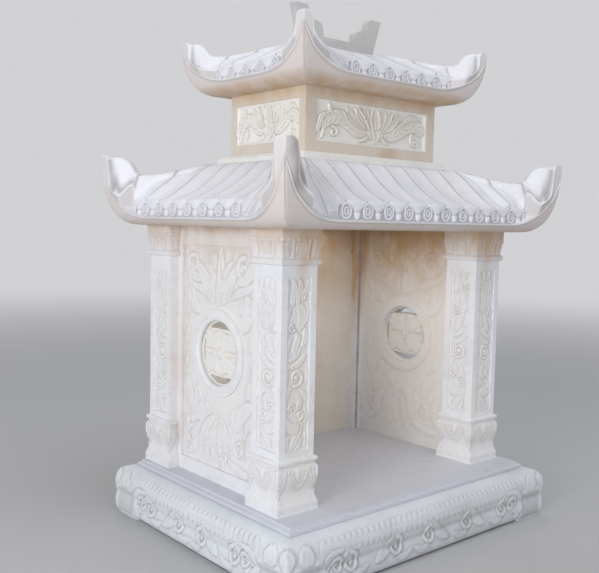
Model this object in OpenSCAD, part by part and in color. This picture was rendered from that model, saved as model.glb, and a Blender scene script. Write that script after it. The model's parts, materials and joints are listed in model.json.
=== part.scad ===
// Two-roof spirit house of carved pale marble, open at the front.
// Millimetres. +Z is up and the open front faces -Y.
// The origin is on the ground, under the middle of the whole house.
// Small reliefs, roof tiles and petals are not cut here: this is the stonework under them.

/* [Shrine body] */
// Width over the outer faces of the pillars
body_w = 890; // [700:5:1100]
// Depth over the outer faces of the pillars
body_d = 640; // [500:5:800]
// Height of the open chamber from floor to ceiling
body_h = 728; // [500:2:900]
// Distance of the body's middle behind the origin
body_y = 17; // [0:1:40]

/* [Plinth] */
// Width of the plinth over its upper bulge
base_w = 1068; // [900:2:1300]
// Depth of the plinth over its upper bulge
base_d = 854; // [700:2:1000]
// Distance of the plinth's middle behind the origin, negative is forward
base_y = -21; // [-60:1:20]
// Height of the chamber floor above the ground
floor_h = 168; // [120:1:240]
// Thickness of the floor slab
slab_t = 18; // [10:1:30]
// Overhang of the plinth's bulge beyond the floor slab
slab_inset = 56; // [30:1:80]
// Width of each corner leg of the plinth
leg_w = 120; // [80:1:160]
// Height of the plinth's underside above the ground, between its legs
apron_lift = 12; // [0:1:40]

/* [Pillars] */
// Width of a pillar's square shaft
shaft_w = 116; // [80:1:150]
// Height of a pillar's lotus foot
foot_h = 142; // [100:1:180]
// Height of a pillar's capital with the ring under it
capital_h = 91; // [60:1:120]
// Width of the sunk panel on each outer face of a shaft
shaft_panel_w = 76; // [50:1:90]
// Depth of the sunk panels on the shafts
shaft_panel_t = 5; // [2:0.5:10]

/* [Walls] */
// Distance of a wall's outer face behind the pillars' outer faces
wall_inset = 27; // [10:1:40]
// Thickness of the side walls
side_wall_t = 58; // [40:1:80]
// Thickness of the back wall
back_wall_t = 63; // [40:1:80]
// Width of the raised frame round each wall's sunk panel
wall_frame_w = 25; // [10:1:50]
// Depth of the sunk panel on each wall's outer face
wall_panel_t = 8; // [3:1:15]

/* [Round windows] */
// Outer radius of the raised ring round a window
ring_r = 124; // [90:1:140]
// Radius of the round hole that holds the pierced flower
window_r = 96; // [70:1:110]
// Thickness of the pierced flower
flower_t = 34; // [20:1:50]
// Height of the window's centre above the floor
window_h = 372; // [300:1:450]

/* [Lower roof] */
// Width over the tips of the lower roof's horns
lower_w = 1116; // [950:2:1300]
// Depth over the tips of the lower roof's horns
lower_d = 890; // [750:2:1050]
// Height of the lower roof from its underside to the tips of its horns
lower_h = 210; // [150:1:260]
// Height of the eave's lip above the underside
lower_lip_h = 22; // [12:1:40]
// Height above the underside where the tiled slope starts
lower_tile_h = 74; // [50:1:100]
// Height of the slope's top above the underside
lower_top_h = 189; // [150:1:220]
// Distance of the roofs' middle behind the origin
roof_y = 3; // [0:1:30]
// Thickness of the lower horns and of the hip bands behind them
lower_blade_t = 52; // [30:1:80]
// Thickness of the lower roof's hip bands (mm)
lower_hip_t = 36; // [20:1:60]

/* [Upper box] */
// Width of the box between the roofs
drum_w = 530; // [400:2:650]
// Depth of the box between the roofs
drum_d = 344; // [250:2:450]
// Height of the box between the roofs
drum_h = 179; // [120:1:240]
// Height of the ledge under the box
ledge_h = 21; // [10:1:40]
// Reach of the ledge beyond the box
ledge_out = 29; // [10:1:50]
// Width of the box's frame at the sides of its front and back panels
drum_frame_w = 37; // [20:1:50]
// Height of the box's frame above and below its panels
drum_frame_h = 32; // [20:1:50]
// Thickness of the carved panels set in the box
drum_panel_t = 26; // [15:1:40]
// Distance of a panel's face behind the frame's face
drum_panel_inset = 8; // [3:1:15]

/* [Upper roof] */
// Width over the tips of the upper roof's horns
upper_w = 744; // [600:2:900]
// Depth over the tips of the upper roof's horns
upper_d = 566; // [450:2:700]
// Height of the upper roof from its underside to the tips of its horns
upper_h = 160; // [120:1:200]
// Height of the eave's lip above the underside
upper_lip_h = 33; // [15:1:50]
// Height above the underside where the tiled slope starts
upper_tile_h = 78; // [50:1:100]
// Height of the slope's top above the underside
upper_top_h = 155; // [120:1:200]
// Thickness of the upper horns and of the hip bands behind them
upper_blade_t = 44; // [30:1:60]
// Thickness of the upper roof's hip bands (mm)
upper_hip_t = 30; // [16:1:50]

/* [Ridge] */
// Length of the ridge block's foot
ridge_l = 284; // [200:2:400]
// Thickness of the ridge block and of its end fins
ridge_t = 29; // [20:1:60]
// Height of the ridge block
ridge_h = 28; // [15:1:50]
// Width of the flat strip on the roof at each side of the ridge block
ridge_seat = 10; // [0:1:20]
// Height of an end fin above the ridge block
fin_h = 83; // [50:1:120]
// Distance from the ridge block's end to the inner end of a fin's foot
fin_l = 78; // [60:1:140]
// Outward lean of each end from the ridge's foot to the fin's top
fin_lean = 34; // [0:1:50]

/* [Fits] */
// Gap between pieces that stand side by side
joint_gap = 0.3; // [0.1:0.1:1]

/* [Hidden] */
$fn = 64;
eps = 1;
ceiling_z = floor_h + body_h;
ledge_z = ceiling_z + lower_top_h;
drum_z = ledge_z + ledge_h;
soffit_z = drum_z + drum_h;
ridge_z = soffit_z + upper_top_h;
shaft_h = body_h - foot_h - capital_h;
pillar_x = (body_w - shaft_w) / 2;
pillar_y = (body_d - shaft_w) / 2;
slab_z = floor_h - slab_t;
white = [0.93, 0.93, 0.92];
cream = [0.91, 0.89, 0.84];
warm = [0.87, 0.82, 0.74];
grey = [0.74, 0.74, 0.75];

// Plinth outline from the ground up: [inset from the bulge, height share of the plinth]
base_curve = [
  [14, 0], [9, 0.05], [2.5, 0.13], [0.5, 0.24], [1, 0.3], [4, 0.38], [8, 0.44],
  [4, 0.49], [1.5, 0.54], [0, 0.62], [0, 0.68], [2, 0.77], [6, 0.845], [12, 0.9],
  [20, 0.945], [34, 0.98], [46, 1]
];

// Pillar foot outline: [reach beyond the shaft, height share of the foot]
foot_curve = [
  [11, 0], [11, 0.15], [8, 0.19], [4.5, 0.28], [3, 0.37], [4, 0.43], [7, 0.5],
  [9.5, 0.6], [10, 0.7], [9, 0.8], [4, 0.86], [4, 0.885], [8.5, 0.905], [10, 0.94],
  [8.5, 0.98], [0, 1]
];

// Capital outline: [reach beyond the shaft, height share of the capital]
capital_curve = [
  [0, 0], [7.5, 0.02], [10, 0.09], [7.5, 0.17], [3, 0.2], [3, 0.24], [4, 0.34],
  [5.5, 0.46], [7.5, 0.58], [9.5, 0.66], [9.5, 1]
];

// Prow of a horn seen from the front: [inset from the tip, height share of the roof]
prow_curve = [
  [103, 0], [70, 0.014], [48, 0.07], [38, 0.115], [31, 0.155], [20.5, 0.257],
  [11.5, 0.386], [5, 0.529], [1.8, 0.7], [0.3, 0.86], [0, 1.02]
];

// Lip of the eave sweeping up to the horn: [distance from the tip, share of lip to tip]
lip_curve = [
  [163, 0], [111, 0.09], [79, 0.186], [47, 0.324], [29, 0.468], [12, 0.644], [2, 0.745],
  [0, 0.745]
];

// Top edge of a horn along the diagonal: [share of its length, drop as share of its rise]
horn_curve = [
  [-0.02, 0.6], [0, 0.15], [0.02, 0.03], [0.1, -0.02], [0.2, 0.01], [0.29, 0.13],
  [0.36, 0.14], [0.47, 0.12], [0.55, 0.13], [0.66, 0.19], [0.74, 0.29], [0.83, 0.46],
  [0.9, 0.69], [0.95, 0.89], [1, 1], [1.16, 1.09]
];

// Wall behind the lip as it comes forward to a horn: [distance from the tip, inset]
rim_plan = [
  [108, 60], [104, 57], [99, 44], [92, 22], [84, 10], [64, 4], [36, -1], [0, -6]
];

// Upper edge of that wall: [distance from the tip, share of lip to tip]
rim_curve = [
  [108, 0.29], [104, 0.3], [96, 0.324], [80, 0.372], [64, 0.436], [48, 0.527],
  [36, 0.633], [33, 0.75], [20, 0.777], [0, 0.787]
];

// Section of the lower slopes: [share of the run, share of the rise]
lower_slope = [
  [0, 0], [0.086, 0.035], [0.27, 0.18], [0.47, 0.385], [0.6, 0.56], [0.695, 0.7],
  [0.79, 0.84], [0.87, 0.94], [0.94, 0.99], [1, 1]
];

// Section of the upper slopes: [share of the run, share of the rise]
upper_slope = [
  [0, 0], [0.167, 0.108], [0.333, 0.232], [0.5, 0.383], [0.667, 0.565], [0.833, 0.775],
  [1, 1]
];

// Point a share t along from p[i] to the next, on a smooth curve through all the points
function between(p, i, t) =
  let (
    a = p[max(i - 1, 0)], b = p[i], c = p[i + 1], d = p[min(i + 2, len(p) - 1)]
  )
  (2 * b + (c - a) * t + (2 * a - 5 * b + 4 * c - d) * t ^ 2
    + (3 * b - a - 3 * c + d) * t ^ 3) / 2;

// The same points with one more between each two, for a rounder outline
function rounder(p) = concat(
  [for (i = [0:len(p) - 2]) each [p[i], between(p, i, 0.5)]],
  [p[len(p) - 1]]
);

// Solid that follows one outline on all four sides of a rectangle
module square_loft(hx, hy, curve) {
  n = len(curve);
  intersection() {
    rotate([90, 0, 0])
      linear_extrude(height = 2 * hy + 200, center = true)
        polygon(concat(
          [for (p = curve) [hx + p[0], p[1]]],
          [for (i = [n - 1:-1:0]) [-hx - curve[i][0], curve[i][1]]]
        ));
    rotate([90, 0, 90])
      linear_extrude(height = 2 * hx + 200, center = true)
        polygon(concat(
          [for (p = curve) [hy + p[0], p[1]]],
          [for (i = [n - 1:-1:0]) [-hy - curve[i][0], curve[i][1]]]
        ));
  }
}

// Places a piece drawn for the front right corner at another corner
module corner(sx, sy) {
  mirror([sx < 0 ? 1 : 0, 0, 0])
    mirror([0, sy > 0 ? 1 : 0, 0])
      children();
}

// PLINTH

module plinth_mass() {
  square_loft(base_w / 2, base_d / 2, [for (p = base_curve) [-p[0], p[1] * slab_z]]);
}

module leg_zone(grow) {
  translate([base_w / 2 - leg_w - grow, -base_d / 2 - 10, -eps])
    cube([leg_w + 10 + grow, leg_w + 10 + grow, slab_z + 2 * eps]);
}

module base_block() {
  color(white)
    translate([0, base_y, 0])
      difference() {
        plinth_mass();
        translate([-base_w, -base_d, -eps])
          cube([2 * base_w, 2 * base_d, apron_lift + eps]);
        for (sx = [-1, 1])
          for (sy = [-1, 1])
            corner(sx, sy) leg_zone(joint_gap);
      }
}

module base_leg(sx, sy) {
  color(white)
    translate([0, base_y, 0])
      intersection() {
        plinth_mass();
        corner(sx, sy) leg_zone(0);
      }
}

module floor_slab() {
  step = slab_t * 0.5;
  color(grey)
    translate([0, base_y, slab_z])
      square_loft(
        base_w / 2 - slab_inset, base_d / 2 - slab_inset,
        [[0, 0], [0, step], [-3, step + 2], [-8, step + 3], [-10, slab_t], [-12, slab_t]]
      );
}

// PILLARS

module at_pillar(sx, sy, z) {
  translate([sx * pillar_x, body_y + sy * pillar_y, z])
    children();
}

// The chamber's inside, which the back pillars are cut back to so that its corners are plain
module chamber_room() {
  room_x = body_w / 2 - wall_inset - side_wall_t;
  room_y = body_d / 2 - wall_inset - back_wall_t;
  translate([-room_x, body_y - body_d, floor_h - eps])
    cube([2 * room_x, body_d + room_y, body_h + 2 * eps]);
}

module pillar_foot(sx, sy) {
  color(cream)
    difference() {
      at_pillar(sx, sy, floor_h)
        square_loft(shaft_w / 2, shaft_w / 2, [for (p = foot_curve) [p[0], p[1] * foot_h]]);
      if (sy > 0) chamber_room();
    }
}

module pillar_shaft(sx, sy) {
  panel_h = shaft_h - 50;
  color(cream)
    difference() {
      at_pillar(sx, sy, floor_h + foot_h)
        difference() {
          translate([-shaft_w / 2, -shaft_w / 2, 0])
            cube([shaft_w, shaft_w, shaft_h]);
          translate([-shaft_panel_w / 2, sy * shaft_w / 2 - shaft_panel_t, 18])
            cube([shaft_panel_w, 2 * shaft_panel_t, panel_h]);
          translate([sx * shaft_w / 2 - shaft_panel_t, -shaft_panel_w / 2, 18])
            cube([2 * shaft_panel_t, shaft_panel_w, panel_h]);
          // the front pillars are also carved on the side of the opening
          if (sy < 0)
            translate([-sx * shaft_w / 2 - shaft_panel_t, -shaft_panel_w / 2, 18])
              cube([2 * shaft_panel_t, shaft_panel_w, panel_h]);
        }
      if (sy > 0) chamber_room();
    }
}

module capital(sx, sy) {
  color(cream)
    difference() {
      at_pillar(sx, sy, ceiling_z - capital_h)
        square_loft(
          shaft_w / 2, shaft_w / 2, [for (p = capital_curve) [p[0], p[1] * capital_h]]
        );
      if (sy > 0) chamber_room();
    }
}

// WALLS

// Room that the pillars' feet, shafts and capitals take out of the walls beside them
module pillar_room() {
  for (sx = [-1, 1])
    for (sy = [-1, 1]) {
      at_pillar(sx, sy, floor_h)
        square_loft(
          shaft_w / 2 + joint_gap, shaft_w / 2 + joint_gap,
          concat([[11, -eps]], [for (p = foot_curve) [p[0], p[1] * foot_h]])
        );
      at_pillar(sx, sy, floor_h + foot_h - eps)
        translate([-shaft_w / 2 - joint_gap, -shaft_w / 2 - joint_gap, 0])
          cube([shaft_w + 2 * joint_gap, shaft_w + 2 * joint_gap, shaft_h + 2 * eps]);
      at_pillar(sx, sy, ceiling_z - capital_h)
        square_loft(
          shaft_w / 2 + joint_gap, shaft_w / 2 + joint_gap,
          concat([for (p = capital_curve) [p[0], p[1] * capital_h]], [[9.5, capital_h + eps]])
        );
    }
}

module side_wall(sx) {
  x_out = body_w / 2 - wall_inset;
  span = body_d - 2 * shaft_w;
  color(cream)
    translate([0, body_y, floor_h])
      mirror([sx < 0 ? 1 : 0, 0, 0])
        difference() {
          union() {
            difference() {
              translate([x_out - side_wall_t, -span / 2 - eps, 0])
                cube([side_wall_t, span + 2 * eps, body_h]);
              translate([x_out - wall_panel_t, -span / 2 + wall_frame_w, wall_frame_w + 15])
                cube([20, span - 2 * wall_frame_w, body_h - 2 * wall_frame_w - 42]);
            }
            translate([x_out - side_wall_t - 7, 0, window_h])
              rotate([0, 90, 0])
                cylinder(r = ring_r, h = side_wall_t + 7);
          }
          translate([x_out - side_wall_t - 20, 0, window_h])
            rotate([0, 90, 0])
              cylinder(r = window_r, h = side_wall_t + 60);
          translate([0, -body_y, -floor_h])
            pillar_room();
        }
}

module wall_back() {
  y_out = body_d / 2 - wall_inset;
  span = body_w - 2 * shaft_w;
  color(warm)
    translate([0, body_y, floor_h])
      difference() {
        translate([-span / 2 - eps, y_out - back_wall_t, 0])
          cube([span + 2 * eps, back_wall_t, body_h]);
        translate([-span / 2 + wall_frame_w, y_out - wall_panel_t, wall_frame_w + 15])
          cube([span - 2 * wall_frame_w, 20, body_h - 2 * wall_frame_w - 42]);
        translate([0, -body_y, -floor_h])
          pillar_room();
      }
}

// Curved slot through the flower, r0 to r1, half as wide as turn, at angle a
module flower_slot(a, turn, r0, r1) {
  n = 12;
  rotate([0, 0, a])
    linear_extrude(height = 2 * flower_t, center = true)
      polygon(concat(
        [for (i = [0:n]) r1 * [cos(-turn + 2 * turn * i / n), sin(-turn + 2 * turn * i / n)]],
        [for (i = [1:n - 1])
          (r0 + (r1 - r0) * 0.5 * (1 - cos(180 * (2 * i / n - 1))) * 0.5)
          * [cos(turn - 2 * turn * i / n), sin(turn - 2 * turn * i / n)]]
      ));
}

module window_flower(sx) {
  x_mid = body_w / 2 - wall_inset - side_wall_t / 2 - 4;
  color(cream)
    translate([sx * x_mid, body_y, floor_h + window_h])
      rotate([0, 90, 0])
        difference() {
          cylinder(r = window_r - joint_gap, h = flower_t, center = true);
          flower_slot(0, 38, 68, 88);
          flower_slot(180, 38, 68, 88);
          flower_slot(90, 24, 79, 87);
          flower_slot(270, 24, 79, 87);
        }
}

// ROOFS

// Everything inside a roof's outer outline, horns included
module roof_outer(w, d, h) {
  square_loft(w / 2, d / 2, [for (p = rounder(prow_curve)) [-p[0], p[1] * h]]);
}

// Hipped slopes with one curve on all four sides, from the lip up to the flat top
module roof_slopes(w, d, lip_h, tile_h, top_h, run_x, run_y, slope) {
  // inset of the plain band behind the lip
  band = 57;
  curve_x = concat(
    [[-44, lip_h], [-band, lip_h + 2]],
    [for (p = slope) [-band - (run_x - band) * p[0], tile_h + (top_h - tile_h) * p[1]]]
  );
  curve_y = concat(
    [[-44, lip_h], [-band, lip_h + 2]],
    [for (p = slope) [-band - (run_y - band) * p[0], tile_h + (top_h - tile_h) * p[1]]]
  );
  n = len(curve_x);
  intersection() {
    rotate([90, 0, 0])
      linear_extrude(height = d, center = true)
        polygon(concat(
          [for (p = curve_x) [w / 2 + p[0], p[1]]],
          [for (i = [n - 1:-1:0]) [-w / 2 - curve_x[i][0], curve_x[i][1]]]
        ));
    rotate([90, 0, 90])
      linear_extrude(height = w, center = true)
        polygon(concat(
          [for (p = curve_y) [d / 2 + p[0], p[1]]],
          [for (i = [n - 1:-1:0]) [-d / 2 - curve_y[i][0], curve_y[i][1]]]
        ));
  }
}

// Upright blade of one outline, from a roof's corner along its hip
module blade(w, d, t, turn, outline) {
  translate([w / 2, -d / 2, 0])
    rotate([0, 0, 180 - turn])
      rotate([90, 0, 0])
        linear_extrude(height = t, center = true)
          polygon(outline);
}

// Horn and the slimmer band that goes on from it up the hip
module horn_blade(w, d, h, lip_h, t, hip_t, len_e, rise, reach, top, turn) {
  low = h - rise * 1.09;
  heel = sqrt(2) * 1.16 * len_e;
  end = sqrt(2) * reach;
  blade(w, d, t, turn, concat(
    [[-20, lip_h]],
    [for (p = horn_curve) [sqrt(2) * p[0] * len_e, h - p[1] * rise]],
    [[heel, lip_h]]
  ));
  blade(w, d, hip_t, turn, concat(
    [[heel - 20, lip_h], [heel - 20, low], [heel, low]],
    [for (i = [1:5]) [heel + (end - heel) * i / 5, low + (top - low) * (1 - cos(36 * i)) / 2]],
    [[end, lip_h]]
  ));
}

// Solid under the eave's lip where it sweeps up to a horn
module corner_fill(w, d, h, lip_h) {
  zs = [for (p = rounder(lip_curve)) [-p[0], lip_h + p[1] * (h - lip_h)]];
  intersection() {
    rotate([90, 0, 0])
      linear_extrude(height = 2 * d, center = true)
        polygon(concat(
          [for (p = zs) [w / 2 + p[0], p[1]]],
          [[w / 2, lip_h - 5], [w / 2 - 163, lip_h - 5]]
        ));
    rotate([90, 0, -90])
      linear_extrude(height = 2 * w, center = true)
        polygon(concat(
          [for (p = zs) [d / 2 + p[0], p[1]]],
          [[d / 2, lip_h - 5], [d / 2 - 163, lip_h - 5]]
        ));
  }
}

// Wall behind the lip beside a horn, up to its own edge over the lip
module corner_rim(w, d, h, lip_h) {
  n = len(rim_plan);
  e = rim_plan[0][0];
  edge = [for (p = rim_curve) [-p[0], lip_h + p[1] * (h - lip_h)]];
  intersection() {
    rotate([90, 0, 0])
      linear_extrude(height = 2 * d, center = true)
        polygon(concat(
          [for (p = edge) [w / 2 + p[0], p[1]]], [[w / 2, lip_h - 5], [w / 2 - e, lip_h - 5]]
        ));
    rotate([90, 0, -90])
      linear_extrude(height = 2 * w, center = true)
        polygon(concat(
          [for (p = edge) [d / 2 + p[0], p[1]]], [[d / 2, lip_h - 5], [d / 2 - e, lip_h - 5]]
        ));
    translate([w / 2, -d / 2, lip_h - 5])
      linear_extrude(height = h)
        polygon(concat(
          [for (p = rim_plan) [-p[0], p[1]]],
          [for (i = [n - 2:-1:0]) [-rim_plan[i][1], rim_plan[i][0]]],
          [[-e, e]]
        ));
  }
}

// Corner block that a horn piece is cut from
module horn_zone(w, d, lip_h, e, grow) {
  translate([w / 2 - e - grow, -d / 2 - 20, lip_h])
    cube([e + 20 + grow, e + 20 + grow, 400]);
}

// LOWER ROOF

lower_zone = 150;
lower_run_x = (lower_w - drum_w) / 2 - ledge_out;
lower_run_y = (lower_d - drum_d) / 2 - ledge_out;
lower_reach = 262;

module lower_shape() {
  roof_slopes(
    lower_w, lower_d, lower_lip_h, lower_tile_h, lower_top_h, lower_run_x, lower_run_y, lower_slope
  );
  for (sx = [-1, 1])
    for (sy = [-1, 1])
      corner(sx, sy) {
        horn_blade(
          lower_w, lower_d, lower_h, lower_lip_h, lower_blade_t, lower_hip_t, 84, 52, lower_reach,
          lower_top_h, atan2(lower_run_y, lower_run_x)
        );
        corner_fill(lower_w, lower_d, lower_h, lower_lip_h);
        corner_rim(lower_w, lower_d, lower_h, lower_lip_h);
      }
}

module lower_mass() {
  intersection() {
    roof_outer(lower_w, lower_d, lower_h);
    lower_shape();
    translate([-lower_w, -lower_d, lower_lip_h])
      cube([2 * lower_w, 2 * lower_d, 400]);
  }
}

module lower_eave() {
  color(cream)
    translate([0, roof_y, ceiling_z])
      intersection() {
        roof_outer(lower_w, lower_d, lower_h);
        translate([-lower_w, -lower_d, 0])
          cube([2 * lower_w, 2 * lower_d, lower_lip_h]);
      }
}

module lower_roof() {
  color(white)
    translate([0, roof_y, ceiling_z])
      difference() {
        lower_mass();
        for (sx = [-1, 1])
          for (sy = [-1, 1])
            corner(sx, sy) horn_zone(lower_w, lower_d, lower_lip_h - eps, lower_zone, joint_gap);
      }
}

module lower_horn(sx, sy) {
  color(white)
    translate([0, roof_y, ceiling_z])
      intersection() {
        lower_mass();
        corner(sx, sy) horn_zone(lower_w, lower_d, lower_lip_h, lower_zone, 0);
      }
}

// UPPER BOX

module drum_ledge() {
  hx = drum_w / 2 + ledge_out;
  hy = drum_d / 2 + ledge_out;
  color(cream)
    translate([0, roof_y, ledge_z])
      square_loft(hx, hy, [[0, 0], [0, ledge_h * 0.6], [-4, ledge_h * 0.75], [-9, ledge_h]]);
}

module drum_window_x(grow) {
  translate([-drum_w / 2 + drum_frame_w - grow, -drum_d, drum_frame_h - grow])
    cube([drum_w - 2 * drum_frame_w + 2 * grow, 2 * drum_d, drum_h - 2 * drum_frame_h + 2 * grow]);
}

module drum_window_y(grow) {
  translate([-drum_w, -drum_d / 2 + drum_frame_w - 10 - grow, drum_frame_h - grow])
    cube([
      2 * drum_w, drum_d - 2 * drum_frame_w + 20 + 2 * grow, drum_h - 2 * drum_frame_h + 2 * grow
    ]);
}

module drum_frame() {
  core_x = drum_w / 2 - drum_panel_inset - drum_panel_t;
  core_y = drum_d / 2 - drum_panel_inset - drum_panel_t;
  color(warm)
    translate([0, roof_y, drum_z])
      difference() {
        translate([-drum_w / 2, -drum_d / 2, 0])
          cube([drum_w, drum_d, drum_h]);
        difference() {
          union() {
            drum_window_x(0);
            drum_window_y(0);
          }
          translate([-core_x, -core_y, -eps])
            cube([2 * core_x, 2 * core_y, drum_h + 2 * eps]);
        }
      }
}

module drum_panel_x(sy) {
  g = joint_gap;
  panel_y = drum_d / 2 - drum_panel_inset - drum_panel_t / 2;
  color(warm)
    translate([0, roof_y, drum_z])
      intersection() {
        drum_window_x(-g);
        translate([-drum_w, sy * panel_y - drum_panel_t / 2 + (sy > 0 ? g : 0), 0])
          cube([2 * drum_w, drum_panel_t - g, drum_h]);
      }
}

module drum_panel_y(sx) {
  g = joint_gap;
  panel_x = drum_w / 2 - drum_panel_inset - drum_panel_t / 2;
  color(warm)
    translate([0, roof_y, drum_z])
      intersection() {
        drum_window_y(-g);
        translate([sx * panel_x - drum_panel_t / 2 + (sx > 0 ? g : 0), -drum_d, 0])
          cube([drum_panel_t - g, 2 * drum_d, drum_h]);
      }
}

// UPPER ROOF

upper_zone = 110;
upper_run_x = upper_w / 2 - ridge_l / 2 + 8;
upper_run_y = upper_d / 2 - ridge_t / 2 - ridge_seat;
upper_reach = 246;

module upper_shape() {
  roof_slopes(
    upper_w, upper_d, upper_lip_h, upper_tile_h, upper_top_h, upper_run_x, upper_run_y, upper_slope
  );
  for (sx = [-1, 1])
    for (sy = [-1, 1])
      corner(sx, sy) {
        horn_blade(
          upper_w, upper_d, upper_h, upper_lip_h, upper_blade_t, upper_hip_t, 65, 36, upper_reach,
          upper_top_h, atan2(upper_run_y, upper_run_x)
        );
        corner_fill(upper_w, upper_d, upper_h, upper_lip_h);
        corner_rim(upper_w, upper_d, upper_h, upper_lip_h);
      }
}

module upper_mass() {
  intersection() {
    roof_outer(upper_w, upper_d, upper_h);
    upper_shape();
    translate([-upper_w, -upper_d, upper_lip_h])
      cube([2 * upper_w, 2 * upper_d, 400]);
  }
}

module upper_eave() {
  color(cream)
    translate([0, roof_y, soffit_z])
      intersection() {
        roof_outer(upper_w, upper_d, upper_h);
        translate([-upper_w, -upper_d, 0])
          cube([2 * upper_w, 2 * upper_d, upper_lip_h]);
      }
}

module upper_roof() {
  color(white)
    translate([0, roof_y, soffit_z])
      difference() {
        upper_mass();
        for (sx = [-1, 1])
          for (sy = [-1, 1])
            corner(sx, sy) horn_zone(upper_w, upper_d, upper_lip_h - eps, upper_zone, joint_gap);
      }
}

module upper_horn(sx, sy) {
  color(white)
    translate([0, roof_y, soffit_z])
      intersection() {
        upper_mass();
        corner(sx, sy) horn_zone(upper_w, upper_d, upper_lip_h, upper_zone, 0);
      }
}

// RIDGE

ridge_out = ridge_l / 2 + fin_lean * ridge_h / (ridge_h + fin_h);

module ridge() {
  color(white)
    translate([0, roof_y, ridge_z])
      rotate([90, 0, 0])
        linear_extrude(height = ridge_t, center = true)
          polygon([
            [-ridge_l / 2, 0], [ridge_l / 2, 0], [ridge_out, ridge_h], [-ridge_out, ridge_h]
          ]);
}

module ridge_fin(sx) {
  top = ridge_h + fin_h;
  color(white)
    translate([0, roof_y, ridge_z])
      mirror([sx < 0 ? 1 : 0, 0, 0])
        rotate([90, 0, 0])
          linear_extrude(height = ridge_t, center = true)
            polygon([
              [ridge_l / 2 - fin_l, ridge_h],
              [ridge_out, ridge_h],
              [ridge_l / 2 + fin_lean, top],
              [ridge_l / 2 - 11, top],
              [ridge_l / 2 - 17, top - 8],
              [ridge_l / 2 - 25, ridge_h + fin_h * 0.6],
              [ridge_l / 2 - fin_l + 14, ridge_h + fin_h * 0.46],
              [ridge_l / 2 - fin_l + 6, ridge_h + fin_h * 0.38]
            ]);
}

// PIECES

base_block();
base_leg(-1, -1);  // base_leg_front_left
base_leg(1, -1);  // base_leg_front_right
base_leg(-1, 1);  // base_leg_back_left
base_leg(1, 1);  // base_leg_back_right
floor_slab();
pillar_foot(-1, -1);  // pillar_foot_front_left
pillar_foot(1, -1);  // pillar_foot_front_right
pillar_foot(-1, 1);  // pillar_foot_back_left
pillar_foot(1, 1);  // pillar_foot_back_right
pillar_shaft(-1, -1);  // pillar_front_left
pillar_shaft(1, -1);  // pillar_front_right
pillar_shaft(-1, 1);  // pillar_back_left
pillar_shaft(1, 1);  // pillar_back_right
capital(-1, -1);  // capital_front_left
capital(1, -1);  // capital_front_right
capital(-1, 1);  // capital_back_left
capital(1, 1);  // capital_back_right
side_wall(-1);  // wall_left
side_wall(1);  // wall_right
wall_back();
window_flower(-1);  // window_flower_left
window_flower(1);  // window_flower_right
lower_eave();
lower_roof();
lower_horn(-1, -1);  // lower_horn_front_left
lower_horn(1, -1);  // lower_horn_front_right
lower_horn(-1, 1);  // lower_horn_back_left
lower_horn(1, 1);  // lower_horn_back_right
drum_ledge();
drum_frame();
drum_panel_x(-1);  // drum_panel_front
drum_panel_x(1);  // drum_panel_back
drum_panel_y(-1);  // drum_panel_left
drum_panel_y(1);  // drum_panel_right
upper_eave();
upper_roof();
upper_horn(-1, -1);  // upper_horn_front_left
upper_horn(1, -1);  // upper_horn_front_right
upper_horn(-1, 1);  // upper_horn_back_left
upper_horn(1, 1);  // upper_horn_back_right
ridge();
ridge_fin(-1);  // ridge_fin_left
ridge_fin(1);  // ridge_fin_right
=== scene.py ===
"""Carving, tiles and marble of the two-roof spirit house, over its packed stones.

Metres, +Z up, the open front faces -Y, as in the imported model. Run as a script.
"""

import json
import math

import bpy
import numpy as np
from mathutils import Matrix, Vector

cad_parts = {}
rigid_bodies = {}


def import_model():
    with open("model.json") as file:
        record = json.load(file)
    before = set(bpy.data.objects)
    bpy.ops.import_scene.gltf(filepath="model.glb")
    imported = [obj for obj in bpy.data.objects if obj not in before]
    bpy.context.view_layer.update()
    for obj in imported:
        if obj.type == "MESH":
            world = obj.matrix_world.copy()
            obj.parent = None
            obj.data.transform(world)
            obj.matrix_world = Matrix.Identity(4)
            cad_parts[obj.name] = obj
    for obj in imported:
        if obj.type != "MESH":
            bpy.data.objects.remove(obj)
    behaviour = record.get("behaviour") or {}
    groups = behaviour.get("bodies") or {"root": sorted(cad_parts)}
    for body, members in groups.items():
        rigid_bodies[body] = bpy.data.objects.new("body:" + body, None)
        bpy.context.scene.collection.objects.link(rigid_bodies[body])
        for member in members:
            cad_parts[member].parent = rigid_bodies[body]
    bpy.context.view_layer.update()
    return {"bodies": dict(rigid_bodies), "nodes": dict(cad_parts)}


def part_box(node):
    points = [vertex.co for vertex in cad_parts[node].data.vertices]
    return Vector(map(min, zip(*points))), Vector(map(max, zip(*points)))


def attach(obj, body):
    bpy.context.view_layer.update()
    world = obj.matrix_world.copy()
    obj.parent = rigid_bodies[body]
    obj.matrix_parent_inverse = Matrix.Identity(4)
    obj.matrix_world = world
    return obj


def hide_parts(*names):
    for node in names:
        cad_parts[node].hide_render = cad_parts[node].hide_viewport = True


bl_info = {
    "name": "Spirit House Dressing",
    "version": (1, 0, 0),
    "blender": (4, 5, 0),
    "location": "3D View > Sidebar > Spirit House",
    "description": "Carves, tiles and finishes the stones of a two-roof marble spirit house",
    "category": "Object",
}

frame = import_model()
BODY = next(iter(frame["bodies"]))

SIDES = ("front", "right", "back", "left")
CORNERS = {"front_left": (-1, -1), "front_right": (1, -1), "back_left": (-1, 1), "back_right": (1, 1)}


# PLACES OF THE PACKED STONES


# Middle of the pillars and walls in y, in metres
MIDDLE_Y = 0.017
# A pillar's middle from the house's, half its width, and foot and height of its foot and capital, in mm
PILLAR_MIDDLE = (387.0, 262.0)
PILLAR_HALF = 58.0
FOOT_SPAN = (168.0, 142.0)
CAPITAL_SPAN = (805.0, 91.0)
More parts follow.
